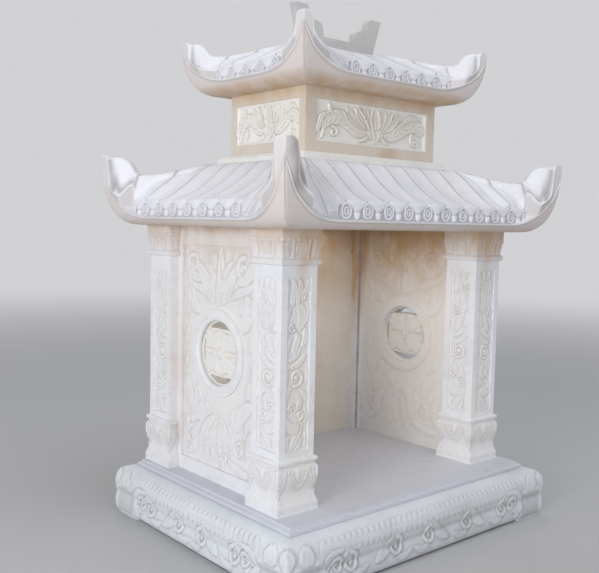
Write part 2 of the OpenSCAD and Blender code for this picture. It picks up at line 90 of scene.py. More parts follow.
# Inner faces of a side wall and the back wall, the back pillars' corner that stands into the chamber, and
# that corner's ends, in metres
ROOM = (0.360, 0.247)
SHAFT = (0.329, 0.221)
CHAMBER_SPAN = (0.1682, 0.8958)
# A window's middle over the ground in metres, and the radius of its opening in the carving in mm
WINDOW_HEIGHT = 0.540
WINDOW_OPEN = 117.0
# How far the ground of a carved field stands out over its stone, in mm
SLAB_OUT = 0.9
# Fields of carving: half width, lower and upper end, and step between its points, in mm
VINE_FIELD = (37.6, 0.4, 444.6, 2.4)
OUTER_WALL_FIELD = (178.6, -331.6, 303.6, 3.5)
INNER_WALL_FIELD = (186.0, -352.0, 318.0, 5.0)
# Where they lie: mm inward from a face at a distance in metres, and a panel's middle in y and foot in mm
VINE_AT = (5.0, 0.058, 0.0, 328.0)
OUTER_WALL_AT = (8.0, 0.418)
INNER_WALL_AT = (0.4, -0.360)
# Distances of a window's rings and of its petals on the outer and on the inner face, in metres
RINGS_AT = (0.418, -0.367)
PETALS_AT = (0.402, -0.368)
# The box's front and back, and its ends: half width in mm and distance in metres
BOX_SIDES = ((227.6, 0.172), (144.6, 0.265))
# Half the height of its panels in mm, and its middle in y in metres
BOX_PANEL_HALF = 57.0
BOX_MIDDLE_Y = 0.003
# Half the plinth's width and depth, its height and its middle in y, in mm
PLINTH_HALF = (534.0, 427.0)
PLINTH_TALL = 150.0
PLINTH_MIDDLE_Y = -21.0


# SIZES AND COLOURS


def length(label, words, default):
    """A size in metres that a user may change."""
    return bpy.props.FloatProperty(
        name=label, description=words, default=default, min=0.0, unit="LENGTH", precision=4
    )


def colour(label, words, default):
    """A colour that a user may change, in linear values."""
    return bpy.props.FloatVectorProperty(
        name=label, description=words, default=default, size=3, min=0.0, max=1.0, subtype="COLOR"
    )


class SpiritHouseSizes(bpy.types.PropertyGroup):
    """Sizes of the carving."""

    lower_pitch: length("Lower row pitch", "Distance between tile rows on the lower roof", 0.0755)
    upper_pitch: length("Upper row pitch", "Distance between tile rows on the upper roof", 0.068)
    medallion: length("Medallion height", "Half height of the oval row ends", 0.0218)
    drip_drop: length("Tongue length", "Length of the pointed tongues between the row ends", 0.044)
    panel_relief: length("Panel relief", "Height of the carving on the box between the roofs", 0.0088)
    vine_relief: length("Vine relief", "Height of the carving on the pillars", 0.003)
    wall_relief: length("Wall relief", "Height of the carving on the walls", 0.0045)
    plinth_relief: length("Plinth relief", "Height of the carving round the plinth", 0.008)
    petal_relief: length("Petal relief", "Height of the lotus petals on feet and capitals", 0.0040)


class SpiritHouseColours(bpy.types.PropertyGroup):
    """Colours of the marble."""

    white: colour("White marble", "Roofs and horns", (0.88, 0.885, 0.945))
    plinth: colour("Plinth marble", "Plinth", (0.80, 0.835, 0.895))
    cream: colour("Cream marble", "Pillars and walls", (0.89, 0.90, 0.94))
    panel: colour("Panel marble", "Carved panels of the box", (0.92, 0.91, 0.89))
    warm: colour("Warm marble", "Frame of the box and back wall", (0.76, 0.69, 0.61))
    inner: colour("Inner marble", "Walls inside the chamber", (0.93, 0.88, 0.80))
    # Undersides of the roofs: the stone's warmer tone with painted shade
    eave: colour("Eave marble", "Undersides of the roofs", (0.78, 0.71, 0.68))
    floor: colour("Floor marble", "Floor of the shrine", (0.66, 0.68, 0.75))
    stain: colour("Ochre stain", "Rust stain in the stone", (0.58, 0.39, 0.22))
    # Dust and painted shade laid in the grooves and hollows of the carving
    dust_and_shade: colour("Stone dust", "Dust left in the carving", (0.36, 0.34, 0.345))
    # Tan dust and painted shade in the carving of pillars, walls and box
    tan_dust_and_shade: colour("Tan dust", "Dust left in the carving of pillars, walls and box", (0.56, 0.49, 0.42))
    ridge: colour("Ridge marble", "Ridge and its end fins", (0.60, 0.60, 0.60))
    # Painted shade on the flank of the near lower horn
    flank: colour("Painted flank shade", "Shaded flank of the near lower horn", (0.34, 0.30, 0.30))
    ground: colour("Studio floor", "The plain floor under the house", (0.55, 0.55, 0.56))
    backdrop: colour("Backdrop", "The plain background", (0.64, 0.64, 0.66))


# MATERIALS


class Value:
    """A shader socket that takes + - * and abs, and adds the Math nodes for them."""

    def __init__(self, shader, socket):
        self.shader, self.socket = shader, socket

    def _with(self, operation, a, b):
        """The value of a Math node."""
        return self.shader.node("ShaderNodeMath", {"operation": operation}, {0: a, 1: b})

    def __add__(self, other):
        return self._with("ADD", self, other)

    def __radd__(self, other):
        return self._with("ADD", other, self)

    def __sub__(self, other):
        return self._with("SUBTRACT", self, other)

    def __rsub__(self, other):
        return self._with("SUBTRACT", other, self)

    def __mul__(self, other):
        return self._with("MULTIPLY", self, other)

    def __rmul__(self, other):
        return self._with("MULTIPLY", other, self)

    def __abs__(self):
        return self._with("ABSOLUTE", self, 0.0)


class Shader:
    """A material and the one way that its nodes are added."""

    def __init__(self, name):
        self.material = bpy.data.materials.new(name)
        self.material.use_nodes = True
        self.tree = self.material.node_tree
        self.finish = self.tree.nodes["Principled BSDF"]

    def node(self, kind, settings, sockets, output=0):
        """Adds a node of that type, sets it, then fills its sockets with values or links."""
        made = self.tree.nodes.new(kind)
        for key, value in settings.items():
            setattr(made, key, value)
        for key, value in sockets.items():
            self.join(made.inputs[key], value)
        return Value(self, made.outputs[output])

    def join(self, socket, value):
        """Fills a socket with a value or a link."""
        if isinstance(value, Value):
            self.tree.links.new(value.socket, socket)
        else:
            socket.default_value = value

    def place(self):
        """The point in the part's own frame."""
        return self.node("ShaderNodeTexCoord", {}, {}, "Object")

    def mapped(self, point, scale, turn=(0, 0, 0)):
        """The point turned and stretched."""
        return self.node(
            "ShaderNodeMapping", {"vector_type": "POINT"}, {"Vector": point, "Rotation": turn, "Scale": scale}
        )

    def noise(self, point, scale, detail=3.0, rough=0.5, warp=0.0):
        """Soft noise in space, about 0.5."""
        return self.node(
            "ShaderNodeTexNoise",
            {"noise_dimensions": "3D"},
            {"Vector": point, "Scale": scale, "Detail": detail, "Roughness": rough, "Distortion": warp},
        )

    def ease(self, value, low, high):
        """Smooth step of value, from 0 at low to 1 at high."""
        return self.node(
            "ShaderNodeMapRange", {"interpolation_type": "SMOOTHSTEP"}, {0: value, 1: low, 2: high}
        )

    def blend(self, share, first, second):
        """Colour between first and second by share."""
        made = self.tree.nodes.new("ShaderNodeMix")
        made.data_type = "RGBA"
        for key, value in ((0, share), (6, first), (7, second)):
            if not isinstance(value, Value) and key != 0:
                value = (*value, 1.0)
            self.join(made.inputs[key], value)
        return Value(self, made.outputs[2])

    def near(self, point, centre, reach):
        """1 about the centre, falling to 0 at the edge of a round cloud of half size reach."""
        moved = self.node("ShaderNodeVectorMath", {"operation": "SUBTRACT"}, {0: point, 1: centre})
        share = self.node("ShaderNodeVectorMath", {"operation": "DIVIDE"}, {0: moved, 1: reach})
        return self.ease(self.span(share), 1.0, 0.25)

    def span(self, vector):
        """Length of a vector."""
        return self.node("ShaderNodeVectorMath", {"operation": "LENGTH"}, {0: vector}, "Value")

    def painted(self, name):
        """Value of a mesh's own layer of that name."""
        return self.node("ShaderNodeAttribute", {"attribute_name": name}, {}, "Fac")


# Every marble, by its name
MARBLES = {}


def marble(name, base, hollow_dust_and_shade, stains=(), roughness=0.5, cloud=0.10, under=None):
    """Hand-dressed marble: clouds, thin grey veins, dust and painted shade in the carving, ochre stains, tool
    marks.

    The colour after base is that of the dust and painted shade in the carving, and under that of a roof's
    underside, part stone colour and part painted shade. stains is a list of (colour, centre, half size,
    strength), in metres in the part's frame.
    """
    s = Shader(name)
    at = s.place()
    broad = s.noise(at, 2.6, 4.0, 0.55, 0.6)
    patch = s.noise(at, 13.0, 5.0, 0.6, 0.3)
    fleck = s.noise(at, 95.0, 3.0, 0.6)
    grain = s.noise(at, 520.0, 2.0, 0.5)
    darker = [c * 0.86 for c in base]
    warmer = [base[0] * 0.99, base[1] * 0.97, base[2] * 0.935]
    tone = s.blend(s.ease(broad, 0.38, 0.66) * (6.0 * cloud), base, warmer)
    tone = s.blend(s.ease(patch, 0.46, 0.72) * (5.0 * cloud), tone, darker)
    line = s.noise(at, 4.3, 6.0, 0.58, 1.4)
    thin = 1.0 - s.ease(abs(line - 0.5), 0.0, 0.016)
    tone = s.blend(thin * 0.16, tone, [c * 0.62 for c in base])
    tone = s.blend(s.ease(fleck, 0.58, 0.72) * 0.16, tone, [c * 0.80 for c in base])
    # undersides take their own tone, part stone colour and part painted shade
    if under is not None:
        tone = s.blend(s.painted("under") * (0.75 + 0.25 * patch), tone, under)
    # hollows and grooves take dust and painted shade, by the recess layer
    tone = s.blend(s.painted("recess") * (0.55 + 0.40 * patch), tone, hollow_dust_and_shade)
    drips = s.noise(s.mapped(at, (9.0, 9.0, 1.6)), 2.0, 4.0, 0.6)
    uneven = s.ease(0.55 * patch + 0.5 * broad + 0.5 * drips, 0.56, 0.98)
    for tint, centre, reach, strength in stains:
        mask = s.near(at, centre, reach) * (0.35 + 0.65 * uneven) * strength
        tone = s.blend(mask, tone, tint)
    s.join(s.finish.inputs["Base Color"], tone)
    s.join(s.finish.inputs["Roughness"], roughness - 0.10 + 0.2 * patch)
    s.finish.inputs["Specular IOR Level"].default_value = 0.35
    chisel = s.noise(s.mapped(at, (1.0, 1.0, 2.4), (0.3, 0.5, 0.2)), 150.0, 3.0, 0.55)
    height = grain * 0.25 + chisel * 0.7 + patch * 0.6
    bump = s.node("ShaderNodeBump", {}, {"Strength": 0.32, "Distance": 0.0012, "Height": height})
    s.join(s.finish.inputs["Normal"], bump)
    MARBLES[name] = s.material


# MESHES


def make_mesh(name, part, crease, shade=None):
    """A closed mesh from a part, with edges sharper than crease degrees left sharp.

    A part has points (n, 3), quads (m, 4), a few faces with more corners and the points' share of dust and
    painted shade. It is turned so that its faces point outwards, which the sign of its volume tells. shade
    is each point's share of the underside's tone, part stone colour and part painted shade.
    """
    points, quads, caps, marks = part
    corner = points[quads]
    volume = np.einsum("ij,ij->", corner[:, 0], np.cross(corner[:, 1], corner[:, 2]))
    volume += np.einsum("ij,ij->", corner[:, 0], np.cross(corner[:, 2], corner[:, 3]))
    for c in caps:
        fan = points[c]
        volume += (np.cross(fan[1:-1], fan[2:]) @ fan[0]).sum()
    if volume < 0:
        quads, caps = quads[:, ::-1], [c[::-1] for c in caps]
    loops = np.concatenate([quads.ravel(), *caps]).astype(np.int32)
    sizes = np.concatenate([np.full(len(quads), 4), [len(c) for c in caps]]).astype(int)
    starts = np.concatenate([[0], np.cumsum(sizes)[:-1]]).astype(np.int32)
    mesh = bpy.data.meshes.new(name)
    mesh.vertices.add(len(points))
    mesh.vertices.foreach_set("co", points.astype(np.float32).ravel())
    mesh.loops.add(len(loops))
    mesh.loops.foreach_set("vertex_index", loops)
    mesh.polygons.add(len(sizes))
    mesh.polygons.foreach_set("loop_start", starts)
    mesh.polygons.foreach_set("use_smooth", np.ones(len(sizes), bool))
    mesh.update(calc_edges=True)
    if mesh.validate():
        raise ValueError(f"the mesh of {name} isn't sound")
    mesh.set_sharp_from_angle(angle=math.radians(crease))
    for key, values in (("recess", marks), ("under", shade)):
        if values is not None:
            layer = mesh.attributes.new(key, "FLOAT", "POINT")
            layer.data.foreach_set("value", np.clip(values, 0, 1).astype(np.float32).ravel())
    return mesh


def add_piece(name, part, marble_name, slot=None, crease=60, replaces=(), shade=None):
    """Puts a part in the scene, riding on the house, and hides the stones that it stands for.

    slot is not used.
    """
    slot = slot or marble_name
    mesh = make_mesh(name, part, crease, shade)
    mesh.materials.append(MARBLES[marble_name])
    piece = bpy.data.objects.new(name, mesh)
    bpy.context.scene.collection.objects.link(piece)
    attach(piece, BODY)
    if replaces:
        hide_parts(*replaces)


def grid_faces(n, m, wrap=False):
    """Corner numbers of the quads of an n by m grid of points, joined round its second way if wrap."""
    i = np.arange(n - 1)[:, None]
    j = np.arange(m if wrap else m - 1)[None, :]
    k = (j + 1) % m
    return np.stack([i * m + j, i * m + k, (i + 1) * m + k, (i + 1) * m + j], -1).reshape(-1, 4)


def carved_skin(front, back, mark):
    """Closed slab: carved points (n, m, 3), their rim dropped by the vector back, and a plain back."""
    n, m = front.shape[:2]
    count = n * m
    rim = front + np.asarray(back, float)
    points = np.concatenate([front.reshape(-1, 3), rim[0], rim[-1], rim[1:-1, 0], rim[1:-1, -1]])
    top = np.arange(count).reshape(n, m)
    low = np.full((n, m), -1)
    low[0], low[-1] = count + np.arange(m), count + m + np.arange(m)
    low[1:-1, 0] = count + 2 * m + np.arange(n - 2)
    low[1:-1, -1] = low[1:-1, 0] + n - 2
    ring, ring_low = (
        np.concatenate([grid[0, :-1], grid[:-1, -1], grid[-1, :0:-1], grid[:0:-1, 0]]) for grid in (top, low)
    )
    skirt = np.stack([np.roll(ring, -1), ring, ring_low, np.roll(ring_low, -1)], -1)
    left, right = low[1:-1, 0], low[1:-1, -1]
    plain = np.stack([left[1:], right[1:], right[:-1], left[:-1]], -1)
    caps = [
        np.concatenate([low[0, ::-1], [left[0], right[0]]]),
        np.concatenate([low[-1], [right[-1], left[-1]]]),
    ]
    marks = np.zeros(len(points))
    marks[:count] = np.broadcast_to(np.asarray(mark, float), (n, m)).ravel()
    return points, np.concatenate([grid_faces(n, m), skirt, plain]), caps, marks


def stacked(rings, marks=None):
    """Closed body through rings of points (n, m, 3), with one flat face at each end."""
    n, m = rings.shape[:2]
    caps = [np.arange(m)[::-1], np.arange(n * m - m, n * m)]
    marks = np.zeros(n * m) if marks is None else marks.ravel()
    return rings.reshape(-1, 3), grid_faces(n, m, wrap=True), caps, marks


def joined(parts):
    """One part from several."""
    points, quads, caps, marks, at = [], [], [], [], 0
    for p, q, c, k in parts:
        points.append(p)
        quads.append(q + at)
        caps.extend(x + at for x in c)
        marks.append(k)
        at += len(p)
    return np.concatenate(points), np.concatenate(quads), caps, np.concatenate(marks)


def repeated(part, moves):
    """The same part at each of several places; moves is a list of 3 by 4 matrices."""
    p, q, c, k = part
    return joined([(p @ m[:, :3].T + m[:, 3], q, c, k) for m in moves])


def turned(profile, around, mark):
    """Solid of revolution about +Z: profile (radius, height) from the outer foot to the middle."""
    profile = np.asarray(profile, float)
    angle = np.linspace(0, 2 * np.pi, around, endpoint=False)
    rings = np.stack([
        profile[:-1, 0, None] * np.cos(angle),
        profile[:-1, 0, None] * np.sin(angle),
        np.broadcast_to(profile[:-1, 1, None], (len(profile) - 1, around)),
    ], -1)
    count = (len(profile) - 1) * around
    points = np.concatenate([rings.reshape(-1, 3), [[0, 0, profile[-1, 1]]]])
    last = np.arange(around) + count - around
    caps = [np.array([last[i], last[(i + 1) % around], count]) for i in range(around)]
    caps.append(np.arange(around)[::-1])
    marks = np.append(np.repeat(mark[:-1], around), mark[-1])
    return points, grid_faces(len(profile) - 1, around, wrap=True), caps, marks


def on_side(k, along, inward, height, reach, middle_y):
    """Points of a four-sided body: along the side, inward from its face at distance reach, and up.

    k is 0 front, 1 right, 2 back, 3 left; each side is the front turned by a quarter more.
    """
    along, inward, height = np.broadcast_arrays(along, inward, height)
    out = -reach + inward
    x, y = [(along, out), (-out, along), (-along, -out), (out, -along)][k]
    return np.stack([x, y + middle_y, height], -1)


# CARVING


def flowing(points, count=22):
    """Smooth path through a few points; each span is a Catmull-Rom cubic."""
    p = np.asarray(points, float)
    p = np.concatenate([[2 * p[0] - p[1]], p, [2 * p[-1] - p[-2]]])
    t = np.linspace(0, len(p) - 3 - 1e-9, count)
    i = t.astype(int)
    f = (t - i)[:, None]
    a, b, c, d = p[i], p[i + 1], p[i + 2], p[i + 3]
    return 0.5 * (
        2 * b + (c - a) * f + (2 * a - 5 * b + 4 * c - d) * f ** 2 + (3 * b - a - 3 * c + d) * f ** 3
    )


def spiral(centre, radius, turns, start, hand, count=44):
    """Path r(q) = radius * (1 - 0.86 q) round the centre, q from 0 to 1; start and turns in turns."""
    q = np.linspace(0, 1, count)
    angle = 2 * np.pi * (start + hand * turns * q)
    reach = radius * (1 - 0.86 * q)
    return np.stack([centre[0] + reach * np.cos(angle), centre[1] + reach * np.sin(angle)], -1)


class Relief:
    """Heights of a carving over a field, in millimetres.

    Shapes are laid one over another. Each has a fine groove round it, as a chisel leaves.
    """

    def __init__(self, u, v, step, groove=2.2, cut=0.7):
        self.shape = np.broadcast(u, v).shape
        self.u, self.v = (np.broadcast_to(a, self.shape).ravel() for a in (u, v))
        self.height = np.zeros(self.u.size)
        self.step, self.groove, self.cut = step, groove, cut

    def near(self, path, reach):
        """Numbers of the points in the box round a path."""
        low, high = path.min(axis=0) - reach, path.max(axis=0) + reach
        across = (self.u > low[0]) & (self.u < high[0])
        return np.flatnonzero(across & (self.v > low[1]) & (self.v < high[1]))

    def measure(self, path, spots):
        """Distance from the path and share of its length, at the points numbered spots."""
        step = np.diff(path, axis=0)
        du = self.u[spots, None] - path[:-1, 0]
        dv = self.v[spots, None] - path[:-1, 1]
        part = np.clip((du * step[:, 0] + dv * step[:, 1]) / (step ** 2).sum(1), 0, 1)
        gap = np.hypot(du - part * step[:, 0], dv - part * step[:, 1])
        best, row = gap.argmin(1), np.arange(len(spots))
        return gap[row, best], (best + part[row, best]) / len(step)

    def lay(self, spots, inside, top):
        """Lays a shape of heights top where inside, the distance within its edge, is above 0."""
        share = np.clip(inside / max(1.7 * self.step, 1.5) + 0.5, 0, 1)
        share = share * share * (3 - 2 * share)
        old = self.height[spots]
        cut = np.exp(-((np.maximum(-inside, 0) / self.groove) ** 2))
        around = old * (1 - 0.8 * cut) - self.cut * cut
        self.height[spots] = around * (1 - share) + np.maximum(top, 0.3 * old) * share

    def bar(self, path, width, height, taper):
        """Round bar of half width w(q) = width * (1 - taper q)."""
        spots = self.near(path, width + 3 * self.groove)
        far, share = self.measure(path, spots)
        wide = width * (1 - taper * share)
        top = height * (1 - 0.5 * taper * share) * np.sqrt(np.clip(1 - (far / wide) ** 2, 0, 1))
        self.lay(spots, wide - far, top)

    def leaf(self, path, width, height, form, veins, hollow):
        """Leaf of half width w(q) = width * q^a * (1-q)^b, hollow between its rim and its midrib."""
        a, b = form
        spots = self.near(path, width + 3 * self.groove)
        far, share = self.measure(path, spots)
        peak = (a / (a + b)) ** a * (b / (a + b)) ** b
        wide = width * share ** a * (1 - share) ** b / peak
        r = np.clip(far / np.maximum(wide, 0.1), 0, 1)
        top = hollow + (1 - hollow) * r ** 2.2 + 0.5 * (1 - hollow) * np.exp(-((r / 0.16) ** 2)) * (1 - share)
        if veins:
            top += 0.16 * np.sin(2 * np.pi * (veins * share - 1.3 * r)) * np.sin(np.pi * np.clip(r, 0, 1))
        self.lay(spots, wide - far, height * top)

    def boss(self, centre, radii, height, power=2.0):
        """Dome h = height * (1 - r^power), r the share of its half width and half height."""
        path = np.array([centre, centre], float)
        spots = self.near(path, max(radii) + 3 * self.groove)
        r = np.hypot((self.u[spots] - centre[0]) / radii[0], (self.v[spots] - centre[1]) / radii[1])
        top = height * np.clip(1 - r ** power, 0, 1) ** 0.7
        self.lay(spots, (1 - r) * min(radii), top)

    def draw(self, shapes, lift, stretch=1.0):
        """Lays each shape of a drawing; lift scales its heights, and stretch its width."""
        size, thick = np.array((stretch, 1.0)), math.sqrt(stretch)
        for kind, where, width, height, *more in shapes:
            if kind == "leaf":
                self.leaf(flowing(where) * size, width * thick, height * lift, *more)
            elif kind == "bar":
                self.bar(flowing(where) * size, width * thick, height * lift, *more)
            elif kind == "curl":
                self.bar(spiral(*where) * size, width * thick, height * lift, *more)
            else:
                self.boss(where * size, width * size, height * lift, *more)

    def grid(self):
        """Heights as the field's rows and columns."""
        return self.height.reshape(self.shape)

    def hollows(self, ground=0.08, body=0.0):
        """Share of dust and painted shade: 1 in the grooves, and as given on the low ground and on the bodies
        of the leaves.
        """
        high = self.grid()
        smooth = high
        for _ in range(3):
            wide = np.pad(smooth, 1, mode="edge")
            beside = wide[:-2, 1:-1] + wide[2:, 1:-1] + wide[1:-1, :-2] + wide[1:-1, 2:]
            smooth = (2 * smooth + beside) / 6
        low = 1 - high / max(high.max(), 0.1)
        return np.clip((smooth - high) * 0.9 + ground * low ** 2 + body * np.clip(high / 3.0, 0, 1), 0, 1)


def mirrored(shapes):
    """The drawing with its left and right sides exchanged."""
    exchanged = []
    for kind, where, *rest in shapes:
        if kind == "curl":
            (x, y), radius, turns, start, hand = where
            where = ((-x, y), radius, turns, 0.5 - start, -hand)
        elif kind == "boss":
            where = (-where[0], where[1])
        else:
            where = [(-x, y) for x, y in where]
        exchanged.append((kind, where, *rest))
    return exchanged


# Lotus of the box between the roofs, drawn about the panel's middle
LOTUS = [
    ("leaf", [(-22, -18), (-62, -18), (-95, 2), (-130, 15), (-165, 11), (-192, -2), (-203, -22)], 21, 5.2,
     (0.35, 0.32), 9, 0.62),
    ("leaf", [(-186, 22), (-205, 8), (-214, -12), (-219, -34)], 8, 6.2, (0.4, 0.5), 0, 0.7),
    ("leaf", [(-165, 20), (-172, 36), (-178, 50)], 6, 6.0, (0.5, 0.6), 0, 0.8),
    ("leaf", [(-196, -16), (-198, -32), (-204, -48)], 5.5, 5.4, (0.4, 0.6), 0, 0.8),
    ("curl", ((-158, -27), 15, 1.2, 0.30, -1), 4.2, 6.0, 0.3),
    ("leaf", [(-16, -26), (-34, -38), (-58, -46)], 6.5, 4.8, (0.4, 0.7), 0, 0.7),
    ("leaf", [(46, -22), (82, -20), (115, -4), (145, 12), (176, 18), (202, 10), (214, -10)], 21, 5.2,
     (0.35, 0.32), 9, 0.62),
    ("leaf", [(128, 22), (150, 34), (172, 40), (196, 34)], 9, 5.6, (0.5, 0.6), 0, 0.7),
    ("leaf", [(168, -4), (163, -24), (170, -44)], 6.5, 6.4, (0.4, 0.5), 0, 0.8),
    ("curl", ((184, -33), 13, 1.1, 0.45, 1), 4.0, 5.6, 0.3),
    ("leaf", [(32, -28), (50, -40), (66, -47)], 6, 4.6, (0.4, 0.7), 0, 0.7),
    ("leaf", [(-22, -12), (-62, 6), (-88, 22), (-108, 46)], 12, 5.6, (0.5, 0.55), 0, 0.35),
    ("leaf", [(-18, -10), (-46, 12), (-60, 30), (-70, 50)], 12, 6.2, (0.5, 0.5), 0, 0.35),
    ("leaf", [(38, -12), (70, 4), (92, 22), (112, 44)], 12, 5.6, (0.5, 0.55), 0, 0.35),
    ("leaf", [(34, -10), (56, 14), (66, 30), (76, 50)], 12, 6.0, (0.5, 0.5), 0, 0.35),
    ("leaf", [(-12, -10), (-24, 16), (-30, 34), (-32, 50)], 11, 6.2, (0.5, 0.5), 0, 0.35),
    ("leaf", [(28, -10), (36, 16), (42, 34), (44, 50)], 11, 6.2, (0.5, 0.5), 0, 0.35),
    ("leaf", [(-6, 4), (-16, -18), (-8, -38)], 9, 5.6, (0.3, 0.6), 0, 0.6),
    ("leaf", [(24, 4), (34, -18), (28, -38)], 9, 5.6, (0.3, 0.6), 0, 0.6),
    ("leaf", [(10, 6), (11, -20), (11, -48)], 17, 6.6, (0.22, 0.6), 0, 0.6),
    ("leaf", [(8, -12), (7, 18), (5, 52)], 21, 7.0, (0.42, 0.45), 0, 0.45),
    ("bar", [(-20, -8), (-34, 16), (-50, 34), (-66, 51)], 2.2, 7.4, 0.1),
]

# Leaves and clouds on the walls, about the window's middle
WALL_UPPER = [
    ("curl", ((-128, 248), 38, 1.25, 0.72, -1), 9, 4.6, 0.35),
    ("leaf", [(-92, 206), (-128, 214), (-158, 246), (-163, 292)], 15, 4.2, (0.4, 0.6), 0, 0.5),
    ("leaf", [(-40, 146), (-78, 176), (-112, 182), (-172, 205)], 12, 4.0, (0.4, 0.7), 0, 0.6),
    ("leaf", [(-96, 110), (-122, 126), (-148, 152), (-172, 172)], 20, 3.8, (0.45, 0.5), 8, 0.7),
    ("leaf", [(-26, 140), (-52, 186), (-74, 214), (-122, 262)], 22, 4.8, (0.4, 0.6), 0, 0.45),
    ("leaf", [(-30, 190), (-34, 226), (-52, 256)], 11, 4.4, (0.5, 0.6), 0, 0.5),
    ("curl", ((112, 240), 34, 1.25, 0.22, 1), 9, 4.6, 0.35),
    ("leaf", [(84, 205), (128, 216), (150, 250), (158, 292)], 15, 4.2, (0.4, 0.6), 0, 0.5),
    ("leaf", [(60, 160), (102, 180), (140, 190), (172, 216)], 12, 4.2, (0.4, 0.7), 0, 0.6),
    ("leaf", [(112, 72), (132, 104), (140, 138), (128, 172)], 24, 4.6, (0.5, 0.45), 0, 0.75),
    ("leaf", [(14, 140), (34, 180), (58, 212), (92, 262)], 20, 4.6, (0.4, 0.6), 0, 0.45),
    ("leaf", [(18, 198), (34, 232), (62, 262)], 11, 4.4, (0.5, 0.6), 0, 0.5),
    ("leaf", [(-6, 134), (4, 200), (8, 256), (10, 300)], 14, 5.2, (0.35, 0.5), 0, 0.5),
    ("bar", [(10, 304), (11, 262), (8, 212)], 2.6, 4.2, 0.2),
]
WALL_LOWER = [
    ("leaf", [(-168, -84), (-150, -118), (-134, -160), (-128, -226)], 17, 4.2, (0.4, 0.7), 0, 0.45),
    ("leaf", [(-104, -108), (-112, -150), (-120, -190)], 9, 3.8, (0.4, 0.6), 0, 0.6),
    ("curl", ((-128, -262), 34, 1.25, 0.1, 1), 8, 4.4, 0.35),
    ("leaf", [(-86, -214), (-112, -244), (-122, -292), (-160, -318)], 15, 4.2, (0.4, 0.6), 6, 0.6),
    ("leaf", [(-14, -186), (-46, -208), (-72, -240), (-84, -288)], 14, 4.6, (0.4, 0.6), 0, 0.45),
    ("leaf", [(162, -122), (132, -140), (108, -168), (92, -208)], 20, 4.4, (0.45, 0.6), 0, 0.5),
    ("leaf", [(166, -196), (150, -226), (148, -262), (160, -300)], 15, 4.0, (0.45, 0.6), 9, 0.7),
    ("boss", (106, -258), (23, 25), 4.6, 3.0),
    ("curl", ((106, -258), 22, 1.4, 0.25, 1), 6, 5.2, 0.35),
    ("leaf", [(56, -196), (66, -232), (62, -268)], 11, 4.2, (0.5, 0.6), 0, 0.5),
    ("leaf", [(8, -186), (34, -216), (44, -260), (34, -300)], 14, 4.8, (0.4, 0.6), 0, 0.45),
    ("leaf", [(54, -296), (92, -312), (132, -318), (168, -314)], 11, 4.2, (0.4, 0.6), 0, 0.6),
    ("bar", [(-6, -198), (-10, -250), (2, -292), (14, -330)], 3, 4.2, 0.2),
    ("curl", ((34, -292), 16, 1.1, 0.55, 1), 5, 4.8, 0.3),
]

# Small leaves between the large ones: place of the stalk, lean and length
WALL_SMALL = (
    (-160, 96, 0.5, 40), (-150, 196, 0.3, 44), (-66, 250, -0.3, 44), (-96, 262, 0.2, 34),
    (-22, 236, -0.2, 52), (34, 258, 0.3, 40), (72, 262, 0.2, 34), (160, 236, -0.2, 50),
    (154, 120, 0.2, 48), (96, 118, 0.6, 40), (160, 20, -0.2, 52), (-164, 10, 0.2, 52),
    (-166, -60, 0.2, 46), (-92, -150, -0.3, 44), (-44, -186, -0.5, 40), (64, -186, 0.4, 40),
    (140, -110, 0.2, 50), (164, -52, -0.1, 44), (-160, -250, 0.2, 46), (-96, -326, 0.3, 40),
    (-58, -326, 0.1, 48), (-22, -312, -0.2, 40), (54, -250, 0.2, 36), (126, -222, 0.3, 40),
    (98, -328, 0.4, 26), (-60, -262, 0.3, 34), (24, -330, 0.3, 32), (-40, 150, -0.5, 34),
    (44, 150, 0.5, 34), (-126, 148, -0.4, 38),
)
for x, y, lean, tall in WALL_SMALL:
    leaf = [(x, y), (x + 0.35 * lean * tall, y + 0.5 * tall), (x + lean * tall, y + tall)]
    (WALL_UPPER if y > -40 else WALL_LOWER).append(("leaf", leaf, 0.24 * tall, 3.4, (0.4, 0.6), 4, 0.55))

